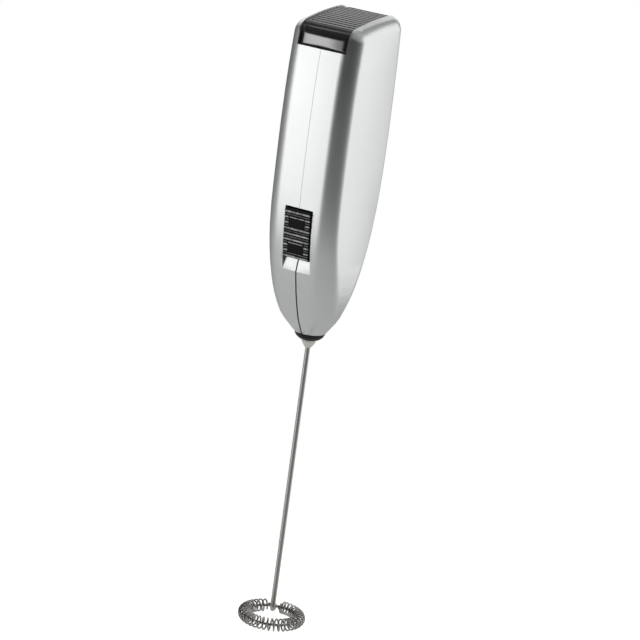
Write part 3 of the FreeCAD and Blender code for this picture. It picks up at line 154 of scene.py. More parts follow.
def refined(node, name, body, ease, reshape=None, share=None, cuts=(), sharp=32.0):
    """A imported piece's own mesh, with its corners joined, smooth shading and rounded-off edges.

    cuts are planes, each a point and a direction, that split the faces in front of CUT_FRONT.
    reshape may move the points. An edge is sharp if its faces turn by more than sharp degrees.
    share gives, from an edge's middle, the part of the full easing that a sharp edge gets.
    Without it every sharp edge gets all of it."""
    mesh = nodes[node].data.copy()
    mesh.name = name
    work = bmesh.new()
    work.from_mesh(mesh)
    bmesh.ops.remove_doubles(work, verts=work.verts, dist=TOUCHING)
    for spot, normal in cuts:
        front = [face for face in work.faces if face.calc_center_median().y < CUT_FRONT]
        near = list({part for face in front for part in (*face.verts, *face.edges, face)})
        bmesh.ops.bisect_plane(work, geom=near, plane_co=spot, plane_no=normal, dist=TOUCHING)
    angle = np.array([edge.calc_face_angle(0.0) for edge in work.edges])
    work.to_mesh(mesh)
    work.free()
    if mesh.attributes.get("custom_normal"):
        mesh.attributes.remove(mesh.attributes["custom_normal"])
    mesh.polygons.foreach_set("use_smooth", np.ones(len(mesh.polygons), dtype=bool))
    mesh.set_sharp_from_angle(angle=math.radians(sharp))

    points = np.empty(len(mesh.vertices) * 3, dtype=np.float32)
    mesh.vertices.foreach_get("co", points)
    points = points.reshape(-1, 3)
    ends = np.empty(len(mesh.edges) * 2, dtype=np.int32)
    mesh.edges.foreach_get("vertices", ends)
    middle = points[ends.reshape(-1, 2)].mean(axis=1)
    weight = (angle > math.radians(sharp)) * (share(middle) if share else 1.0)
    if reshape:
        mesh.vertices.foreach_set("co", reshape(points).ravel())
    mesh.attributes.new("bevel_weight_edge", "FLOAT", "EDGE").data.foreach_set(
        "value", weight.astype(np.float32))
    mesh.update()

    item = add_piece(name, mesh, body)
    bevel = item.modifiers.new("eased_edges", "BEVEL")
    bevel.width, bevel.segments, bevel.limit_method = ease * MM, BEVEL_STEPS, "WEIGHT"
    bevel.harden_normals = True
    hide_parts(node)
    print(name, "eases", int((weight > 0).sum()), "edges by up to", ease, "mm")
    return item


# %% [markdown]
# ## Finishes
# A moulded, painted or drawn surface is never quite even. A picture of such a surface would have
# to be unwrapped onto every piece. Noise needs no unwrapping: each finish here is one Principled
# shader whose colour, roughness and relief drift with noise in the piece's own coordinates, so
# that the pattern stays on the piece as it moves and has the same size on every piece.

# %% Nodes in one line
NOISE_LOW, NOISE_HIGH = 0.25, 0.75


def add(tree, kind, inputs=None, **settings):
    """A new node. Its inputs take numbers or other nodes' outputs, and its settings plain values."""
    node = tree.nodes.new(kind)
    for key, value in settings.items():
        setattr(node, key, value)
    for key, value in (inputs or {}).items():
        if isinstance(value, bpy.types.NodeSocket):
            tree.links.new(value, node.inputs[key])
        else:
            node.inputs[key].default_value = value
    return node


def ramp(tree, value, start, end, low=0.0, high=1.0):
    """Low until the value reaches the start, then evenly on to high at the end."""
    return add(tree, "ShaderNodeMapRange", {
        "Value": value, "From Min": start, "From Max": end, "To Min": low, "To Max": high}).outputs[0]


def drifting(tree, noise, low, high):
    """A number that runs from low to high over the span in which noise mostly lies."""
    return ramp(tree, noise, NOISE_LOW, NOISE_HIGH, low, high)


def calc(tree, operation, *values):
    """One step of arithmetic with numbers or other nodes' outputs."""
    return add(tree, "ShaderNodeMath", dict(enumerate(values)), operation=operation).outputs[0]


def mixed(tree, share, first, second):
    """The first colour where the share is 0, and the second where it is 1."""
    mix = add(tree, "ShaderNodeMix", {"Factor": share, "A": first, "B": second}, data_type="RGBA")
    return mix.outputs["Result"]


# %% Where a finish is, and what it changes
def own_place(tree):
    """The place of a point in the piece's own coordinates."""
    return add(tree, "ShaderNodeTexCoord").outputs["Object"]


def own_height(tree):
    """The height of a point in the piece's own coordinates."""
    return add(tree, "ShaderNodeSeparateXYZ", {"Vector": own_place(tree)}).outputs["Z"]


def shader_inputs(tree):
    """The inputs of the one shader that a finish has."""
    return tree.nodes["Principled BSDF"].inputs


def lay_over(tree, share, colour):
    """Lay a colour over the finish's own, where the share is above 0."""
    base = shader_inputs(tree)["Base Color"]
    tree.links.new(mixed(tree, share, base.links[0].from_socket, colour), base)


# %% A finish
BROAD = 65.0


def finish(name, colour, roughness, grain=0.3, drift=0.05, wander=0.04, relief=0.003,
           stretch=(1, 1, 1), **fixed):
    """A surface with some grain.

    The grain and the depth of the relief are in millimetres. The colour drifts by a share of
    itself, over about 15 mm, which is BROAD waves a metre, and over the grain. The roughness
    wanders by an amount. A stretch below 1 draws the pattern out along that axis. Everything else
    is set on the shader as it is."""
    made = bpy.data.materials.new(name)
    made.use_nodes = True
    tree = made.node_tree
    spread = add(tree, "ShaderNodeMapping", {"Vector": own_place(tree), "Scale": stretch}).outputs[0]
    broad = add(tree, "ShaderNodeTexNoise", {"Vector": spread, "Scale": BROAD, "Detail": 3.0}).outputs[0]
    fine = add(tree, "ShaderNodeTexNoise", {
        "Vector": spread, "Scale": 1 / (grain * MM), "Detail": 2.0}).outputs[0]
    both = add(tree, "ShaderNodeMix", {"Factor": 0.5, "A": broad, "B": fine}).outputs[0]
    dark, light = ((*(min(c * (1 + way * drift), 1.0) for c in colour), 1) for way in (-1, 1))
    shade = mixed(tree, drifting(tree, both, 0.0, 1.0), dark, light)
    rough = drifting(tree, fine, max(roughness - wander, 0.02), min(roughness + wander, 1.0))
    bump = add(tree, "ShaderNodeBump", {"Height": fine, "Distance": relief * MM}).outputs[0]
    inputs = shader_inputs(tree)
    for key, value in (("Base Color", shade), ("Roughness", rough), ("Normal", bump)):
        tree.links.new(value, inputs[key])
    for key, value in fixed.items():
        inputs[key.replace("_", " ")].default_value = value
    print(name, "has a roughness of", roughness, "and a grain of", grain, "mm")
    return made


# %% [markdown]
# Silver paint is clear lacquer full of tiny metal flakes. Each flake lies at its own tilt and
# mirrors a little more or less than its neighbour. Tilting the surface for each flake would give
# hard sparks that take long to render clean. So a pattern of small cells drives how metallic the
# paint is.

# %% Silver paint on the two shells
FLAKE, LEAST_METAL = 0.15 * MM, 0.90
silver = finish("silver_paint", (0.728, 0.744, 0.740), 0.32, grain=0.12, drift=0.025, wander=0.035,
                relief=0.0014)
tree = silver.node_tree
flakes = add(tree, "ShaderNodeTexVoronoi", {"Vector": own_place(tree), "Scale": 1 / FLAKE})
metal = drifting(tree, flakes.outputs["Color"], LEAST_METAL, 1.0)
tree.links.new(metal, shader_inputs(tree)["Metallic"])

# %% [markdown]
# The dark pieces are moulded black plastic. The lid comes out of a polished mould, the switch out
# of a plain one and the nose ring out of a finely spark-eroded one. So they differ in gloss: in how
# sharply they mirror, which is their roughness, and in how strongly, which is set as the IOR.

# %% Black plastics
lid_black = finish("lid_black", (0.010, 0.010, 0.011), 0.15, grain=0.5, relief=0.0015, IOR=3.0)
switch_black = finish("switch_black", (0.004, 0.004, 0.004), 0.30, grain=0.25, relief=0.003, IOR=1.24)
nose_black = finish("nose_black", (0.005, 0.005, 0.005), 0.45, grain=0.3, relief=0.003, IOR=1.38)
chassis_black = finish("chassis_black", (0.020, 0.020, 0.021), 0.55, grain=0.3, relief=0.006)

# %% [markdown]
# Only the lid's front and its rolled edge are polished. The ribbed top is left matt, so that a
# thumb holds on it. The change follows the height: the roughness rises where the roll ends.

# %% The lid's matt top
MATT_FROM, MATT_FULLY, MATT_EXTRA = 105.8 * MM, 107.2 * MM, 0.22

tree = lid_black.node_tree
rough = shader_inputs(tree)["Roughness"]
matt = ramp(tree, own_height(tree), MATT_FROM, MATT_FULLY, high=MATT_EXTRA)
tree.links.new(calc(tree, "ADD", rough.links[0].from_socket, matt), rough)
print("the lid is matt from", MATT_FULLY, "m up")

# %% [markdown]
# The grip ribs' crests get a painted highlight: a lighter grey in their colour. It follows the height
# above the knob's base, seen in the knob's own leaning frame, and noise breaks it up.

# %% A painted highlight on the switch
TILT, REFERENCE = math.radians(8.3), (0, -17.3 * MM, 37.5 * MM)
# A painted highlight: the rib crests turn a lighter grey between these two heights.
HIGHLIGHT_FROM, HIGHLIGHT_FULLY, HIGHLIGHT_GREY = 0.72 * MM, 0.97 * MM, (0.66, 0.66, 0.66, 1)
PATCH, LEAST_HIGHLIGHT = 0.9 * MM, 0.15

tree = switch_black.node_tree
leaning = add(tree, "ShaderNodeMapping", {
    "Vector": own_place(tree), "Location": REFERENCE, "Rotation": (TILT, 0, 0)},
    vector_type="TEXTURE").outputs[0]
forward = add(tree, "ShaderNodeSeparateXYZ", {"Vector": leaning}).outputs["Y"]
crest = ramp(tree, forward, -HIGHLIGHT_FROM, -HIGHLIGHT_FULLY)
patches = add(tree, "ShaderNodeTexNoise", {"Vector": own_place(tree), "Scale": 1 / PATCH}).outputs[0]
highlighted = calc(tree, "MULTIPLY", crest, drifting(tree, patches, LEAST_HIGHLIGHT, 1.0))
# Lay the painted highlight over the knob's black.
lay_over(tree, highlighted, HIGHLIGHT_GREY)
print("crests are worn that stand out by", HIGHLIGHT_FULLY, "m")

# %% [markdown]
# The coupling hub and the motor's end cap are natural nylon: milky, a little warm, and not shiny.
# Light enters the hub a little way, and subsurface scattering spreads it there. The end cap lies
# in the dark of the handle, and does without.

# %% Pale plastics
hub_cream = finish("hub_cream", (0.86, 0.84, 0.78), 0.45, grain=0.25, relief=0.003,
                   Subsurface_Weight=0.15, Subsurface_Scale=0.001)
white_nylon = finish("white_nylon", (0.74, 0.73, 0.70), 0.42, relief=0.004)

# %% [markdown]
# The metals are bare. Drawn wire and turned shafts carry fine lines along their length, so their
# noise is stretched that way. Plated strips are smooth, and ferrite and sintered bronze are grainy.

# %% Metals
shaft_steel = finish("shaft_steel", (0.56, 0.545, 0.52), 0.42, grain=0.2, relief=0.0015,
                     stretch=(1, 1, 0.04), Metallic=1.0)
coil_steel = finish("coil_steel", (0.48, 0.47, 0.45), 0.12, grain=0.2, relief=0.001, Metallic=1.0)
motor_steel = finish("motor_steel", (0.60, 0.60, 0.59), 0.30, relief=0.002, Metallic=1.0)
nickel = finish("nickel", (0.70, 0.68, 0.65), 0.22, relief=0.0015, Metallic=1.0)
copper = finish("copper_strip", (0.80, 0.47, 0.29), 0.30, relief=0.002, Metallic=1.0)
bronze = finish("bronze", (0.45, 0.29, 0.14), 0.50, grain=0.12, relief=0.008, Metallic=1.0)
ferrite = finish("ferrite", (0.05, 0.05, 0.055), 0.70, grain=0.15, relief=0.008)
enamel = finish("enamelled_wire", (0.48, 0.16, 0.06), 0.30, grain=0.2, relief=0.02,
                stretch=(1, 1, 6), Metallic=0.7)

# %% [markdown]
# A cell is a steel can in a printed plastic sleeve. The can's rim and its button stay bare, so the
# colour and the metal follow the height along the cell.

# %% Battery cells
CELL_MIDDLE, SLEEVE_REACH, SLEEVE_EDGE = 77.9 * MM, 23.1 * MM, 0.1 * MM
CAN_COLOUR = (0.62, 0.61, 0.59, 1)
cell_finish = finish("cell_sleeve", (0.055, 0.085, 0.10), 0.28, relief=0.002, Coat_Weight=0.4)
tree = cell_finish.node_tree
away = calc(tree, "ABSOLUTE", calc(tree, "SUBTRACT", own_height(tree), CELL_MIDDLE))
bare = ramp(tree, away, SLEEVE_REACH, SLEEVE_REACH + SLEEVE_EDGE)
lay_over(tree, bare, CAN_COLOUR)
tree.links.new(bare, shader_inputs(tree)["Metallic"])

# %% [markdown]
# ## Which piece has which finish
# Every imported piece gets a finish, the hidden ones too, because some of them show when the lid or
# the switch slides. The finish goes on the object's own slots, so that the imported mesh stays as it
# is. The pieces that are made anew below are dressed one by one.

# %% Which piece has which finish
paints = {
    silver: ("left_shell", "right_shell"),
    lid_black: ("battery_lid",),
    switch_black: ("switch_knob",),
    nose_black: ("nose_ring",),
    chassis_black: ("chassis", "switch_slider"),
    hub_cream: ("coupling_hub",),
    white_nylon: ("motor_end_cap",),
    shaft_steel: ("whisk_shaft",),
    coil_steel: ("whisk_ring", "whisk_coil"),
    motor_steel: ("motor_can", "motor_shaft", "rotor_core"),
    nickel: ("spring_contact", "button_contact", "lid_contact"),
    copper: ("motor_brushes", "motor_terminals", "feed_strip", "switch_strip", "motor_strip",
             "commutator", "switch_bridge"),
    bronze: ("motor_bush",),
    ferrite: ("motor_magnets",),
    enamel: ("rotor_windings",),
    cell_finish: ("front_cell", "rear_cell"),
}
for paint, names in paints.items():
    for name in names:
        for slot in nodes[name].material_slots:
            slot.link, slot.material = "OBJECT", paint
print("finishes:", len(paints), "on", sum(len(names) for names in paints.values()), "pieces")


def dress(item, paint):
    """Give a new piece its finish."""
    item.data.materials.clear()
    item.data.materials.append(paint)


# %% [markdown]
# ## The two shells
# The handle is two mirrored mouldings that meet on the centre plane. Above the switch the joint is
# clamped so tight that it is only a hairline. Below the switch it opens into a small V-groove. The
# packed shells have the right form, so their own mesh is kept. Only its edges are eased, and the
# points on the joint move a little in or out.

# %% How far the joint opens
SEAM_CLOSED, SEAM_OPEN = 0.045 * MM, 0.24 * MM
OPEN_BELOW, CLOSED_ABOVE, NEAR_JOINT = 31 * MM, 35 * MM, 0.2 * MM
PLAIN_SHARE, CLOSED_SHARE = 0.4, 0.12


def step(value, low, high):
    """0 below low, 1 above high, and the smooth step 3 t^2 - 2 t^3 between them."""
    t = np.clip((value - low) / (high - low), 0, 1)
    return t * t * (3 - 2 * t)


def opening(height):
    """1 where the joint is open, 0 where it is closed, and a smooth step between the two heights."""
    return 1 - step(height, OPEN_BELOW, CLOSED_ABOVE)


def on_joint(points):
    """Which points lie on the joint: those nearer to the centre plane than NEAR_JOINT."""
    return np.abs(points[:, 0]) < NEAR_JOINT


def set_joint(points):
    """Move the joint's points to half the gap that the joint has at their height."""
    gap = SEAM_CLOSED + (SEAM_OPEN - SEAM_CLOSED) * opening(points[:, 2])
    points[:, 0] = np.where(on_joint(points), np.sign(points[:, 0]) * gap, points[:, 0])
    return points


def joint_ease(middle):
    """The share of the full easing: PLAIN_SHARE off the joint. On it, CLOSED_SHARE where the joint
    is closed, and growing to all of it as the joint opens."""
    on_it = CLOSED_SHARE + (1 - CLOSED_SHARE) * opening(middle[:, 2])
    return np.where(on_joint(middle), on_it, PLAIN_SHARE)


print("the joint is", 2 * SEAM_CLOSED, "m wide above and", 2 * SEAM_OPEN, "m below")

# %% The shells
SHELL_EASE = 0.22  # millimetres
for side in ("left", "right"):
    shell = refined(f"{side}_shell", f"{side}_shell_skin", "handle", SHELL_EASE, set_joint, joint_ease)
    dress(shell, silver)

# %% [markdown]
# ## The battery lid
# One glossy moulding with a ribbed top. Its front is a little pillowed: it falls back towards both
# sides and towards its lower edge, which frames the light that it mirrors with dark margins. Near
# the top it leans back into the wide roll of the front edge. The lid could be built anew as one
# grid, but its ribs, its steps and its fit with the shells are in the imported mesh. That mesh has a
# flat front, so its faces are first cut into strips there, and then the new points move back.

# %% Where the lid's front falls back
LID_HALF, LID_FOOT, ROLL_FROM, ROLL_TO = 9.05 * MM, 100.7 * MM, 103.8 * MM, 105.4 * MM
FRONT_SKIN, ROLL_SKIN, ROLL_ABOVE, TOP_ABOVE = -16.6 * MM, -15.5 * MM, 104.0 * MM, 106.7 * MM
CROWN_DEEP, SIDE_WIDE, SIDE_DEEP = 0.65 * MM, 2.4 * MM, 0.35 * MM
SAG_FROM, SAG_DEEP, FOOT_WIDE, FOOT_DEEP = 102.8 * MM, 0.12 * MM, 1.5 * MM, 0.50 * MM
LEAN, LEAN_START, LEAN_END = 0.23, (103.7 * MM, 105.1 * MM), (105.2 * MM, 106.8 * MM)
ROUND_FRONT, ROUND_TOP = -16.4 * MM, -13.9 * MM


def climb(value, low, high):
    """The running sum of the smooth step: t^3 - t^4 / 2 of its width, then straight on."""
    t = np.clip((value - low) / (high - low), 0, 1)
    return (high - low) * (t ** 3 - t ** 4 / 2) + np.maximum(value - high, 0)


def fallen(distance, wide):
    """How far a pillowed edge has fallen at a distance from it: a quarter of an ellipse, 1 at the edge."""
    return 1 - np.sqrt(1 - np.clip(1 - distance / wide, 0, 1) ** 2)


def set_front(points):
    """Push the lid's front back, more near its sides and its lower edge, and lean it back on top.

    Across, the push is a parabola, and a quarter of an ellipse at the edge that ends at the roll.
    Downwards it is the same from where the sag begins. The two are added as the sides of a right
    angle. The lean has a slope that comes in over LEAN_START and goes out over LEAN_END. All of it
    fades out where the roll turns into the top, and the inner side stays as it is."""
    x, y, z = points.T
    edge = SIDE_DEEP * fallen(LID_HALF - np.abs(x), SIDE_WIDE) * (1 - step(z, ROLL_FROM, ROLL_TO))
    across = CROWN_DEEP * (x / LID_HALF) ** 2 + edge
    sagged = np.clip((SAG_FROM - z) / (SAG_FROM - LID_FOOT), 0, 1)
    down = SAG_DEEP * sagged ** 2 + FOOT_DEEP * fallen(z - LID_FOOT, FOOT_WIDE)
    lean = LEAN * (climb(z, *LEAN_START) - climb(z, *LEAN_END))
    push = (np.hypot(across, down) + lean) * (1 - step(y, ROUND_FRONT, ROUND_TOP))
    outer = (y < FRONT_SKIN) | ((y < ROLL_SKIN) & (z > ROLL_ABOVE)) | (z > TOP_ABOVE)
    points[:, 1] = np.where(outer, y + push, y)
    return points


far = np.array([[0.0, -1.0, SAG_FROM], [LID_HALF, -1.0, LID_FOOT]])
print("the lid's front falls back by", set_front(far)[:, 1] + 1.0, "m in its middle and at a corner")

# %% The lid
# These are in millimetres. The strips are narrow where the front falls back steeply.
SIDE_CUTS = (1, 2, 3, 4, 5, 6, 6.65, 6.9, 7.2, 7.5, 7.8, 8.1, 8.35, 8.6, 8.8, 8.95)
FOOT_CUTS = (100.78, 100.9, 101.05, 101.25, 101.5, 101.8, 102.1, 102.5, 103.0, 103.3, 103.6, 103.9,
             104.2, 104.5, 104.8, 105.1, 105.4)
LID_EASE = 0.06
side_cuts = [((sign * x * MM, 0, 0), (1, 0, 0)) for sign in (-1, 1) for x in SIDE_CUTS]
foot_cuts = [((0, 0, z * MM), (0, 0, 1)) for z in FOOT_CUTS]
lid = refined("battery_lid", "battery_lid_skin", "lid", LID_EASE, set_front, cuts=side_cuts + foot_cuts)
dress(lid, lid_black)

# %% [markdown]
# ## The nose
# A black ring closes the shells' lower end, and the cream hub of the whisk turns inside it. Both
# are turned forms: an outline swept round the drive axis. A modifier could round their edges, but
# every edge here has its own radius, so the corners of the outline are rounded off first.

# %% The nose ring
# These are in millimetres, with one easing for each corner.
RING_BORE, RING_FOOT, RING_WAIST, RING_RIM = 2.5, 3.4, 4.75, 5.4
WAIST_LEVEL, RIM_LEVEL, COLLAR_LEVEL, COLLAR_TOP = 1.1, 2.6, 5.05, 5.95
RING_NECK, COLLAR, RING_SIDES = 3.2, 3.7, 128
ring_outline = [(RING_BORE, 0.0), (RING_FOOT, 0.0), (RING_WAIST, WAIST_LEVEL), (RING_RIM, RIM_LEVEL),
                (RING_NECK, RIM_LEVEL), (RING_NECK, COLLAR_LEVEL), (COLLAR, COLLAR_LEVEL),
                (COLLAR, COLLAR_TOP), (RING_BORE, COLLAR_TOP)]
ring_ease = [0.12, 0.4, 0.5, 0.1, 0.05, 0.05, 0.1, 0.1, 0.1]
nose = turned("nose_ring_skin", eased(ring_outline, ring_ease), RING_SIDES, "handle")
dress(nose, nose_black)
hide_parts("nose_ring")

# %% The coupling hub
# These are in millimetres, with one easing for each corner. A bore ends in a flat floor, which
# leaves only a pinhole on the axis.
HUB_TIP, HUB_RADIUS, TIP_LEVEL, CONE_LEVEL, HUB_TOP = 1.1, 2.35, -3.0, -1.2, 16.5
WHISK_BORE, WHISK_BORE_TOP, MOTOR_BORE, MOTOR_BORE_FOOT, PINHOLE = 0.85, 6.0, 0.8, 10.0, 0.04
HUB_SIDES = 96
hub_outline = [(PINHOLE, WHISK_BORE_TOP), (WHISK_BORE, WHISK_BORE_TOP), (WHISK_BORE, TIP_LEVEL),
               (HUB_TIP, TIP_LEVEL), (HUB_RADIUS, CONE_LEVEL), (HUB_RADIUS, HUB_TOP),
               (MOTOR_BORE, HUB_TOP), (MOTOR_BORE, MOTOR_BORE_FOOT), (PINHOLE, MOTOR_BORE_FOOT)]
hub_ease = [0.0, 0.02, 0.02, 0.12, 0.5, 0.15, 0.05, 0.02, 0.0]
hub = turned("coupling_hub_skin", eased(hub_outline, hub_ease), HUB_SIDES, "whisk", ring=False)
dress(hub, hub_cream)
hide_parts("coupling_hub")

# %% [markdown]
# ## The switch
# The knob is a small black slab with grip ribs right across it and two plain fields, where such a
# switch may carry its marks. Ribs could be boxes laid on a slab, but moulded ribs rise steeply on
# one side, fall slowly on the other and run into the fields softly. So the knob is one grid: each
# row is its outline at one place along its path, and the front of that outline follows the ribs.

# %% The knob's sizes and its ribs
# These are in millimetres, in the knob's own frame.
KNOB_HALF, KNOB_LOW, KNOB_HIGH, KNOB_BACK, KNOB_PROUD = 4.95, -7.3, 9.9, 0.7, 0.6
RIB_PITCH, RIB_START, RIB_END, RIB_EDGE = 1.92, -7.0, 9.3, 0.05
RIB_RISE, RIB_UP, RIB_DOWN = 0.4, (0.0, 0.12), (0.30, 0.92)
RIDGE_RISE, RIDGE_UP, RIDGE_DOWN = 0.24, (1.05, 1.2), (1.28, 1.7)
FIELD_HALF, FIELD_TALL, FIELD_LOWS, FIELD_SOFT = 3.1, 3.8, (3.4, -5.4), 0.08
PAD_RISE, PAD_SIDE, PAD_END, PAD_SOFT = 0.06, 0.25, 0.2, 0.3
RIM_FROM, RIM_TO, RIM_SIDE_SOFT, RIM_SOFT = 0.62, 0.1, 0.2, 0.16


def within(value, low, high, soft):
    """1 between low and high, falling to 0 over a soft edge inside them."""
    return step(value, low, low + soft) * (1 - step(value, high - soft, high))


def knob_front(across, along):
    """How far the knob's front stands out at a place: its base, its ribs, and its two fields.

    Going up from its lower edge, a rib rises steeply over RIB_UP and falls slowly over RIB_DOWN,
    both by the smooth step. A weaker ridge lies between it and the next one. Inside a field there
    are no ribs, and the field's own pad stands out, with a higher rim along its top."""
    phase = np.mod(along - RIB_START, RIB_PITCH)
    ribbed = (step(along, RIB_START - RIB_EDGE, RIB_START)
              * (1 - step(along, RIB_END, RIB_END + RIB_EDGE)))
    rib = RIB_RISE * step(phase, *RIB_UP) * (1 - step(phase, *RIB_DOWN))
    ridge = RIDGE_RISE * step(phase, *RIDGE_UP) * (1 - step(phase, *RIDGE_DOWN))
    front = ribbed * (rib + ridge)
    side = FIELD_HALF - PAD_SIDE
    for low in FIELD_LOWS:
        high = low + FIELD_TALL
        room = within(across, -FIELD_HALF, FIELD_HALF, FIELD_SOFT) * within(along, low, high, FIELD_SOFT)
        pad = within(across, -side, side, PAD_SOFT) * within(along, low + PAD_END, high - PAD_END, PAD_SOFT)
        rim = (within(across, -side, side, RIM_SIDE_SOFT)
               * within(along, high - RIM_FROM, high - RIM_TO, RIM_SOFT))
        front = front * (1 - room) + np.maximum(PAD_RISE * pad, RIB_RISE * rim)
    return KNOB_PROUD + front


heights = knob_front(np.zeros((1, 1)), np.linspace(KNOB_LOW, KNOB_HIGH, 500)[:, None])
print("the knob's middle stands out by", heights.min(), "to", heights.max(), "mm")

# %% The knob
# The long edges are rounded over CORNER and the ends over KNOB_END. Over HEEL, the back rises to
# the lower edge until only HEEL_THICK is left.
KNOB_ROWS, KNOB_COLUMNS, CORNER_STEPS = 300, 72, 6
CORNER, KNOB_END, HEEL, HEEL_THICK = 0.35, 0.25, 2.2, 0.02

along = np.linspace(KNOB_LOW, KNOB_HIGH, KNOB_ROWS)[:, None]
flat_half = KNOB_HALF - CORNER
right_x = flat_half + CORNER * np.sin(np.linspace(0, TAU / 4, CORNER_STEPS))
across = np.concatenate([-right_x[::-1], np.linspace(-flat_half, flat_half, KNOB_COLUMNS)[1:-1], right_x])
side_sink = CORNER * fallen(KNOB_HALF - np.abs(across), CORNER)
end_sink = KNOB_END * fallen(np.minimum(along - KNOB_LOW, KNOB_HIGH - along), KNOB_END)
front = side_sink + end_sink - knob_front(across[None, :], along)
back = np.minimum(KNOB_BACK, (along - KNOB_LOW) / HEEL * KNOB_BACK + HEEL_THICK)
inward = np.concatenate([front, back, back], axis=1)
sideways = np.concatenate([across, [KNOB_HALF, -KNOB_HALF]])[None, :] + 0 * along
local = np.stack([sideways, inward, along + 0 * inward], axis=-1) * MM
turn = np.array(Matrix.Rotation(TILT, 3, "X"))
knob = grid_piece("switch_knob_skin", local @ turn.T + np.array(REFERENCE), "switch", sharp=50)
dress(knob, switch_black)
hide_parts("switch_knob")

# %% [markdown]
# ## The whisk
# A spring of bright wire is threaded onto a ring of thicker wire, and the shaft ends in a bent arm
# that carries the ring. The spring is the hardest line on the object: a helix whose axis is itself
# bent into a circle. A straight spring could be bent by a curve modifier, but a formula also draws
# its ends in. There its turns close onto the ring, and the last few stand closer together, where
# the maker pushed them up against the arm.

# %% Sizes of the whisk
RING_RADIUS, COIL_RADIUS, COIL_WIRE, CORE_WIRE = 9.42 * MM, 2.015 * MM, 0.3 * MM, 0.45 * MM
COIL_TURNS, CROWDED_TURNS, WHISK_DROP = 36, 3, 99.6 * MM
COIL_GAP, CROWDED_PITCH, ARM_TURN = math.radians(17), math.radians(6), math.radians(24)
DRAWN_IN, COIL_STEPS, COIL_SIDES, RING_STEPS, CORE_SIDES = (0.4, 1.3), 28, 12, 180, 16
SHAFT_RADIUS, SHAFT_TOP, BEND_LEVEL, ARM_BEND = WHISK_BORE * MM, WHISK_BORE_TOP * MM, 3.5 * MM, 1.7 * MM
coil_start = TAU / 4 + ARM_TURN + COIL_GAP / 2
coil_pitch = (TAU - COIL_GAP - CROWDED_TURNS * CROWDED_PITCH) / (COIL_TURNS - CROWDED_TURNS)
print("the open turns are", coil_pitch * RING_RADIUS, "m apart")


# %% The spring's centre line
def coil_line(turns):
    """Points of the spring's centre line, and of the ring it is wound on, after so many turns.

    The angle round the ring grows by one pitch a turn, and by the smaller pitch in the crowded
    turns. The point lies the spring's radius from the ring's wire, at one full circle a turn. That
    radius grows smoothly from a tight fit over the wire to its full size about a turn further on."""
    crowded = np.maximum(turns - COIL_TURNS + CROWDED_TURNS, 0)
    around = coil_start + (turns - crowded) * coil_pitch + crowded * CROWDED_PITCH
    opened = step(np.minimum(turns, COIL_TURNS - turns), *DRAWN_IN)
    tight = CORE_WIRE + COIL_WIRE
    radius = tight + opened * (COIL_RADIUS - tight)
    outward = RING_RADIUS - radius * np.cos(TAU * turns)
    out = np.stack([np.cos(around), np.sin(around), 0 * around], axis=1)
    up = np.array([[0.0, 0.0, 1.0]])
    line = out * outward[:, None] + up * (radius * np.sin(TAU * turns) - WHISK_DROP)[:, None]
    return line, out * RING_RADIUS - up * WHISK_DROP


# %% The spring and the ring
line, middle = coil_line(np.linspace(0, COIL_TURNS, COIL_TURNS * COIL_STEPS + 1))
coil = wire("whisk_coil_wire", line, COIL_WIRE, COIL_SIDES, line - middle, "whisk")
dress(coil, coil_steel)
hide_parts("whisk_coil")

turn = np.arange(RING_STEPS) * TAU / RING_STEPS
line = np.stack([RING_RADIUS * np.cos(turn), RING_RADIUS * np.sin(turn), 0 * turn - WHISK_DROP], axis=1)
core = wire("whisk_core_wire", line, CORE_WIRE, CORE_SIDES, np.array([[0.0, 0.0, 1.0]]), "whisk", ring=True)
dress(core, coil_steel)
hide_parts("whisk_ring")

# %% [markdown]
# The shaft is one wire. It runs straight down the drive axis, turns outwards in a bend, and leaves
# the bend along the straight line that touches its arc and ends in the ring's wire. So the arm
# follows from the ring, and fits it whatever the ring's size.

# %% The shaft and its arm
STRAIGHT_STEPS, BEND_STEPS, ARM_STEPS, SHAFT_SIDES = 60, 24, 12, 28
arm_angle, bend_height = TAU / 4 + ARM_TURN, BEND_LEVEL - WHISK_DROP
reach = RING_RADIUS - ARM_BEND
touching = math.sqrt(reach ** 2 + BEND_LEVEL ** 2 - ARM_BEND ** 2)
leave = math.atan2(-BEND_LEVEL, reach) - math.atan2(touching, ARM_BEND) + TAU
straight = np.linspace(SHAFT_TOP, bend_height, STRAIGHT_STEPS)[:-1]
bend = np.linspace(TAU / 2, leave, BEND_STEPS)
bend_out, bend_up = ARM_BEND * (1 + np.cos(bend)), ARM_BEND * np.sin(bend) + bend_height
arm = np.linspace(0, 1, ARM_STEPS)[1:]
arm_out = bend_out[-1] + arm * (RING_RADIUS - bend_out[-1])
arm_up = bend_up[-1] + arm * (-WHISK_DROP - bend_up[-1])
outward = np.concatenate([0 * straight, bend_out, arm_out])
height = np.concatenate([straight, bend_up, arm_up])
line = np.stack([outward * math.cos(arm_angle), outward * math.sin(arm_angle), height], axis=1)
square = np.array([[-math.sin(arm_angle), math.cos(arm_angle), 0.0]])
shaft = wire("whisk_shaft_wire", line, SHAFT_RADIUS, SHAFT_SIDES, square, "whisk")
dress(shaft, shaft_steel)
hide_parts("whisk_shaft")

# %% [markdown]
# ## Studio
# Silver paint shows little but what it mirrors, so the studio matters as much as the paint. A
# bright wall stands on the left and another behind on the right, and between them the room stays
# dark. That gap gives the handle its dark stripe, and its soft edges give the stripe soft edges.
# Such a room could be built of glowing panels. Here it is a colour of the world that follows the
# direction, which costs no light and can fade as slowly as it likes.

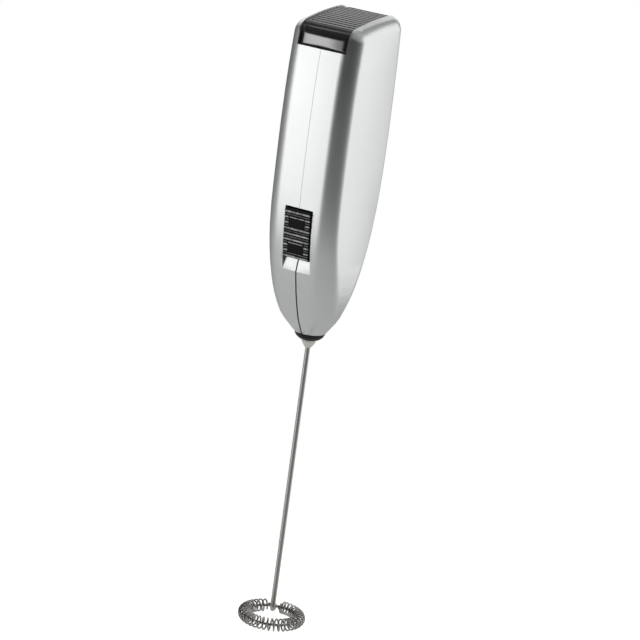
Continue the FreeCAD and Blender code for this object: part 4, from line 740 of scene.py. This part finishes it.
# %% What shiny pieces mirror
WALL = [(-180, 0.30), (-150, 0.08), (-120, 0.10), (-95, 0.15), (-76, 0.22), (-62, 0.40), (-50, 0.95),
        (-39, 1.90), (-26, 1.98), (-18, 0.70), (-9, 0.08), (5, 0.01), (30, 0.01), (66, 0.01),
        (92, 0.05), (104, 0.22), (116, 0.80), (130, 1.35), (160, 1.02), (172, 0.70), (180, 0.30)]
GAP = [(-180, 1.10), (-168, 1.30), (-118, 1.30), (-100, 0.40), (-80, 0.06), (-60, 0.02), (40, 0.02),
       (100, 0.40), (124, 1.10), (152, 1.30), (163, 0.90), (167, 0.05), (174, 0.02), (178, 0.90),
       (180, 1.10)]
CEILING = [(-180, 1.10), (-168, 0.60), (-120, 0.50), (-96, 0.20), (-70, 0.04), (0, 0.04), (60, 0.30),
           (130, 0.45), (163, 0.40), (167, 0.05), (174, 0.02), (178, 0.90), (180, 1.10)]
BRIGHTEST = 2.2


def round_room(tree, turn, stops):
    """A brightness that follows the direction round the room, from stops of (degrees, brightness).

    It is a share of the BRIGHTEST, eased from stop to stop. Turn runs from 0 to 1 as the degrees
    run from -180 to 180, counted from -Y towards +X."""
    made = add(tree, "ShaderNodeValToRGB", {"Fac": turn})
    made.color_ramp.interpolation = "EASE"
    spots = made.color_ramp.elements
    while len(spots) < len(stops):
        spots.new(0.5)
    # A spot that moves may change places with others, so the colours wait until all have moved.
    for spot, (degrees, level) in zip(spots, stops):
        spot.position = degrees / 360 + 0.5
    for spot, (degrees, level) in zip(spots, stops):
        spot.color = (level / BRIGHTEST,) * 3 + (1,)
    return made.outputs["Color"]


print("the room has", len(WALL), "stops low,", len(GAP), "higher and", len(CEILING), "overhead")

# %% The room, from the ground up
# The borders are elevations in degrees. The wall greys from WALL_ABOVE down to FOOT, both counted
# from -1 straight below to 1 straight above.
WALL_TO_GAP, GAP_TO_CEILING = (7, 14), (27, 32)
FOOT, WALL_ABOVE, FOOT_GREY, FOOT_SHARE = -0.46, -0.14, (0.30, 0.30, 0.30, 1), 0.55

world = bpy.data.worlds.new("studio")
bpy.context.scene.world = world
world.use_nodes = True
world.cycles.sampling_method = "NONE"
tree = world.node_tree
look = add(tree, "ShaderNodeSeparateXYZ", {
    "Vector": add(tree, "ShaderNodeTexCoord").outputs["Generated"]}).outputs
azimuth = calc(tree, "ARCTAN2", look["X"], calc(tree, "MULTIPLY", look["Y"], -1.0))
turn = ramp(tree, azimuth, -math.pi, math.pi)


def between(tree, elevations, below, above):
    """The first colour below an elevation, the second above another, and a smooth step between."""
    low, high = (math.sin(math.radians(elevation)) for elevation in elevations)
    share = add(tree, "ShaderNodeMapRange", {"Value": look["Z"], "From Min": low, "From Max": high},
                interpolation_type="SMOOTHSTEP").outputs[0]
    return mixed(tree, share, below, above)


fade = ramp(tree, look["Z"], WALL_ABOVE, FOOT, high=FOOT_SHARE)
wall = mixed(tree, fade, round_room(tree, turn, WALL), FOOT_GREY)
upper = between(tree, GAP_TO_CEILING, round_room(tree, turn, GAP), round_room(tree, turn, CEILING))
room = between(tree, WALL_TO_GAP, wall, upper)
print("the walls end at", WALL_TO_GAP, "degrees, and the ceiling begins at", GAP_TO_CEILING)

# %% [markdown]
# The room is only there to be mirrored. A ray from the camera that misses everything finds plain
# white, and a ray that gathers soft light finds an even grey, so that matt pieces are lit from all
# sides alike.

# %% The room as each kind of ray meets it
AMBIENT, WHITE = (0.42, 0.42, 0.42, 1), (1, 1, 1, 1)
path = add(tree, "ShaderNodeLightPath").outputs
mirrored = calc(tree, "MAXIMUM", path["Is Glossy Ray"], path["Is Transmission Ray"])
plain = add(tree, "ShaderNodeBackground", {"Color": AMBIENT}).outputs[0]
graded = add(tree, "ShaderNodeBackground", {"Color": room, "Strength": BRIGHTEST}).outputs[0]
white = add(tree, "ShaderNodeBackground", {"Color": WHITE}).outputs[0]
unseen = add(tree, "ShaderNodeMixShader", {0: mirrored, 1: plain, 2: graded}).outputs[0]
whole = add(tree, "ShaderNodeMixShader", {0: path["Is Camera Ray"], 1: unseen, 2: white}).outputs[0]
tree.links.new(whole, tree.nodes["World Output"].inputs["Surface"])
print("the world has", len(tree.nodes), "nodes")

# %% [markdown]
# The floor is a pale round table top well below the whisk. It keeps the shadows that fall on it.
# For the camera it also glows, so that it runs into the white room without an edge.

# %% The floor
FLOOR_LEVEL, FLOOR_RADIUS, FLOOR_SIDES, FLOOR_GLOW, FLOOR_MIRRORED = -0.42, 1.0, 96, 0.80, 0.10
rim = np.arange(FLOOR_SIDES) * TAU / FLOOR_SIDES
corners = [FLOOR_RADIUS * np.cos(rim), FLOOR_RADIUS * np.sin(rim), 0 * rim + FLOOR_LEVEL]
mesh = bpy.data.meshes.new("floor")
mesh.from_pydata(np.stack(corners, axis=1), [], [list(range(FLOOR_SIDES))])
floor = add_object("floor", mesh)
pale = finish("pale_floor", (0.55, 0.55, 0.55), 0.9, grain=4.0, drift=0.01, relief=0.0)
floor.data.materials.append(pale)
tree = pale.node_tree
path = add(tree, "ShaderNodeLightPath").outputs
seen = calc(tree, "MULTIPLY", path["Is Camera Ray"], FLOOR_GLOW)
glow = calc(tree, "MULTIPLY_ADD", path["Is Glossy Ray"], FLOOR_MIRRORED, seen)
shader_inputs(tree)["Emission Color"].default_value = WHITE
tree.links.new(glow, shader_inputs(tree)["Emission Strength"])

# %% [markdown]
# Four soft lamps light the plain surfaces. A large lamp makes a soft shadow, as a window does.
# Shiny pieces don't mirror the lamps, because the room is already there for that.

# %% Soft lamps
def direction(azimuth, elevation):
    """The unit vector towards an azimuth, counted from -Y towards +X, and an elevation."""
    a, e = math.radians(azimuth), math.radians(elevation)
    return Vector((math.sin(a) * math.cos(e), -math.cos(a) * math.cos(e), math.sin(e)))


LAMP_AIM = Vector((0, 0, 20 * MM))
# Azimuth and elevation in degrees, distance, width, height and brightness.
LAMPS = {
    "key_lamp": (-55, 30, 1.1, 0.8, 0.8, 1.6),
    "fill_lamp": (80, 20, 1.1, 0.8, 0.8, 0.8),
    "back_lamp": (-160, 35, 1.1, 0.8, 0.8, 0.8),
    "overhead_lamp": (-60, 62, 0.9, 0.5, 0.34, 5.0),
}


def softbox(name, azimuth, elevation, distance, wide, tall, glow):
    """A rectangular lamp that faces the frother, with glow its brightness, where 1 is white.

    A lamp of area A and power P has the brightness P / (pi A)."""
    light = bpy.data.lights.new(name, "AREA")
    light.shape = "RECTANGLE"
    light.size, light.size_y, light.energy = wide, tall, glow * math.pi * wide * tall
    item = add_object(name, light)
    item.location = LAMP_AIM + direction(azimuth, elevation) * distance
    item.rotation_euler = (-direction(azimuth, elevation)).to_track_quat("-Z", "Y").to_euler()
    item.visible_glossy = False
    print(name, "gives", round(light.energy, 2), "W")


for name, (azimuth, elevation, distance, wide, tall, glow) in LAMPS.items():
    softbox(name, azimuth, elevation, distance, wide, tall, glow)

# %% [markdown]
# ## Camera
# It looks down on the frother from the front right, and is rolled so that the frother leans. It
# stands a metre off with a long lens, so that the far side looks hardly smaller than the near one.
# Its place is worked out from two angles, a roll and a distance, which are easier to read and to
# change than a place and three turns.

# %% The camera
AZIMUTH, ELEVATION, ROLL = 28.385, 14.725, math.radians(-7.759)
DISTANCE, SHIFT_RIGHT, SHIFT_UP, AIM_LEVEL = 1.0, 2.348 * MM, -3.770 * MM, 10.4 * MM
SENSOR, FOCUS_IN_SENSORS = 36, 4.660625
back = direction(AZIMUTH, ELEVATION)
level = direction(AZIMUTH + 90, 0)
above = back.cross(level)
right = math.cos(ROLL) * level - math.sin(ROLL) * above
up = math.sin(ROLL) * level + math.cos(ROLL) * above
lens = bpy.data.cameras.new("camera")
lens.lens, lens.sensor_width = FOCUS_IN_SENSORS * SENSOR, SENSOR
camera = add_object("camera", lens)
place = Vector((0, 0, AIM_LEVEL)) + right * SHIFT_RIGHT + up * SHIFT_UP + back * DISTANCE
camera.matrix_world = Matrix.Translation(place) @ Matrix((right, up, back)).transposed().to_4x4()
bpy.context.scene.camera = camera
bpy.context.scene.view_settings.view_transform = "Standard"
print("the camera has a lens of", round(lens.lens, 1), "mm and stands at", list(place))
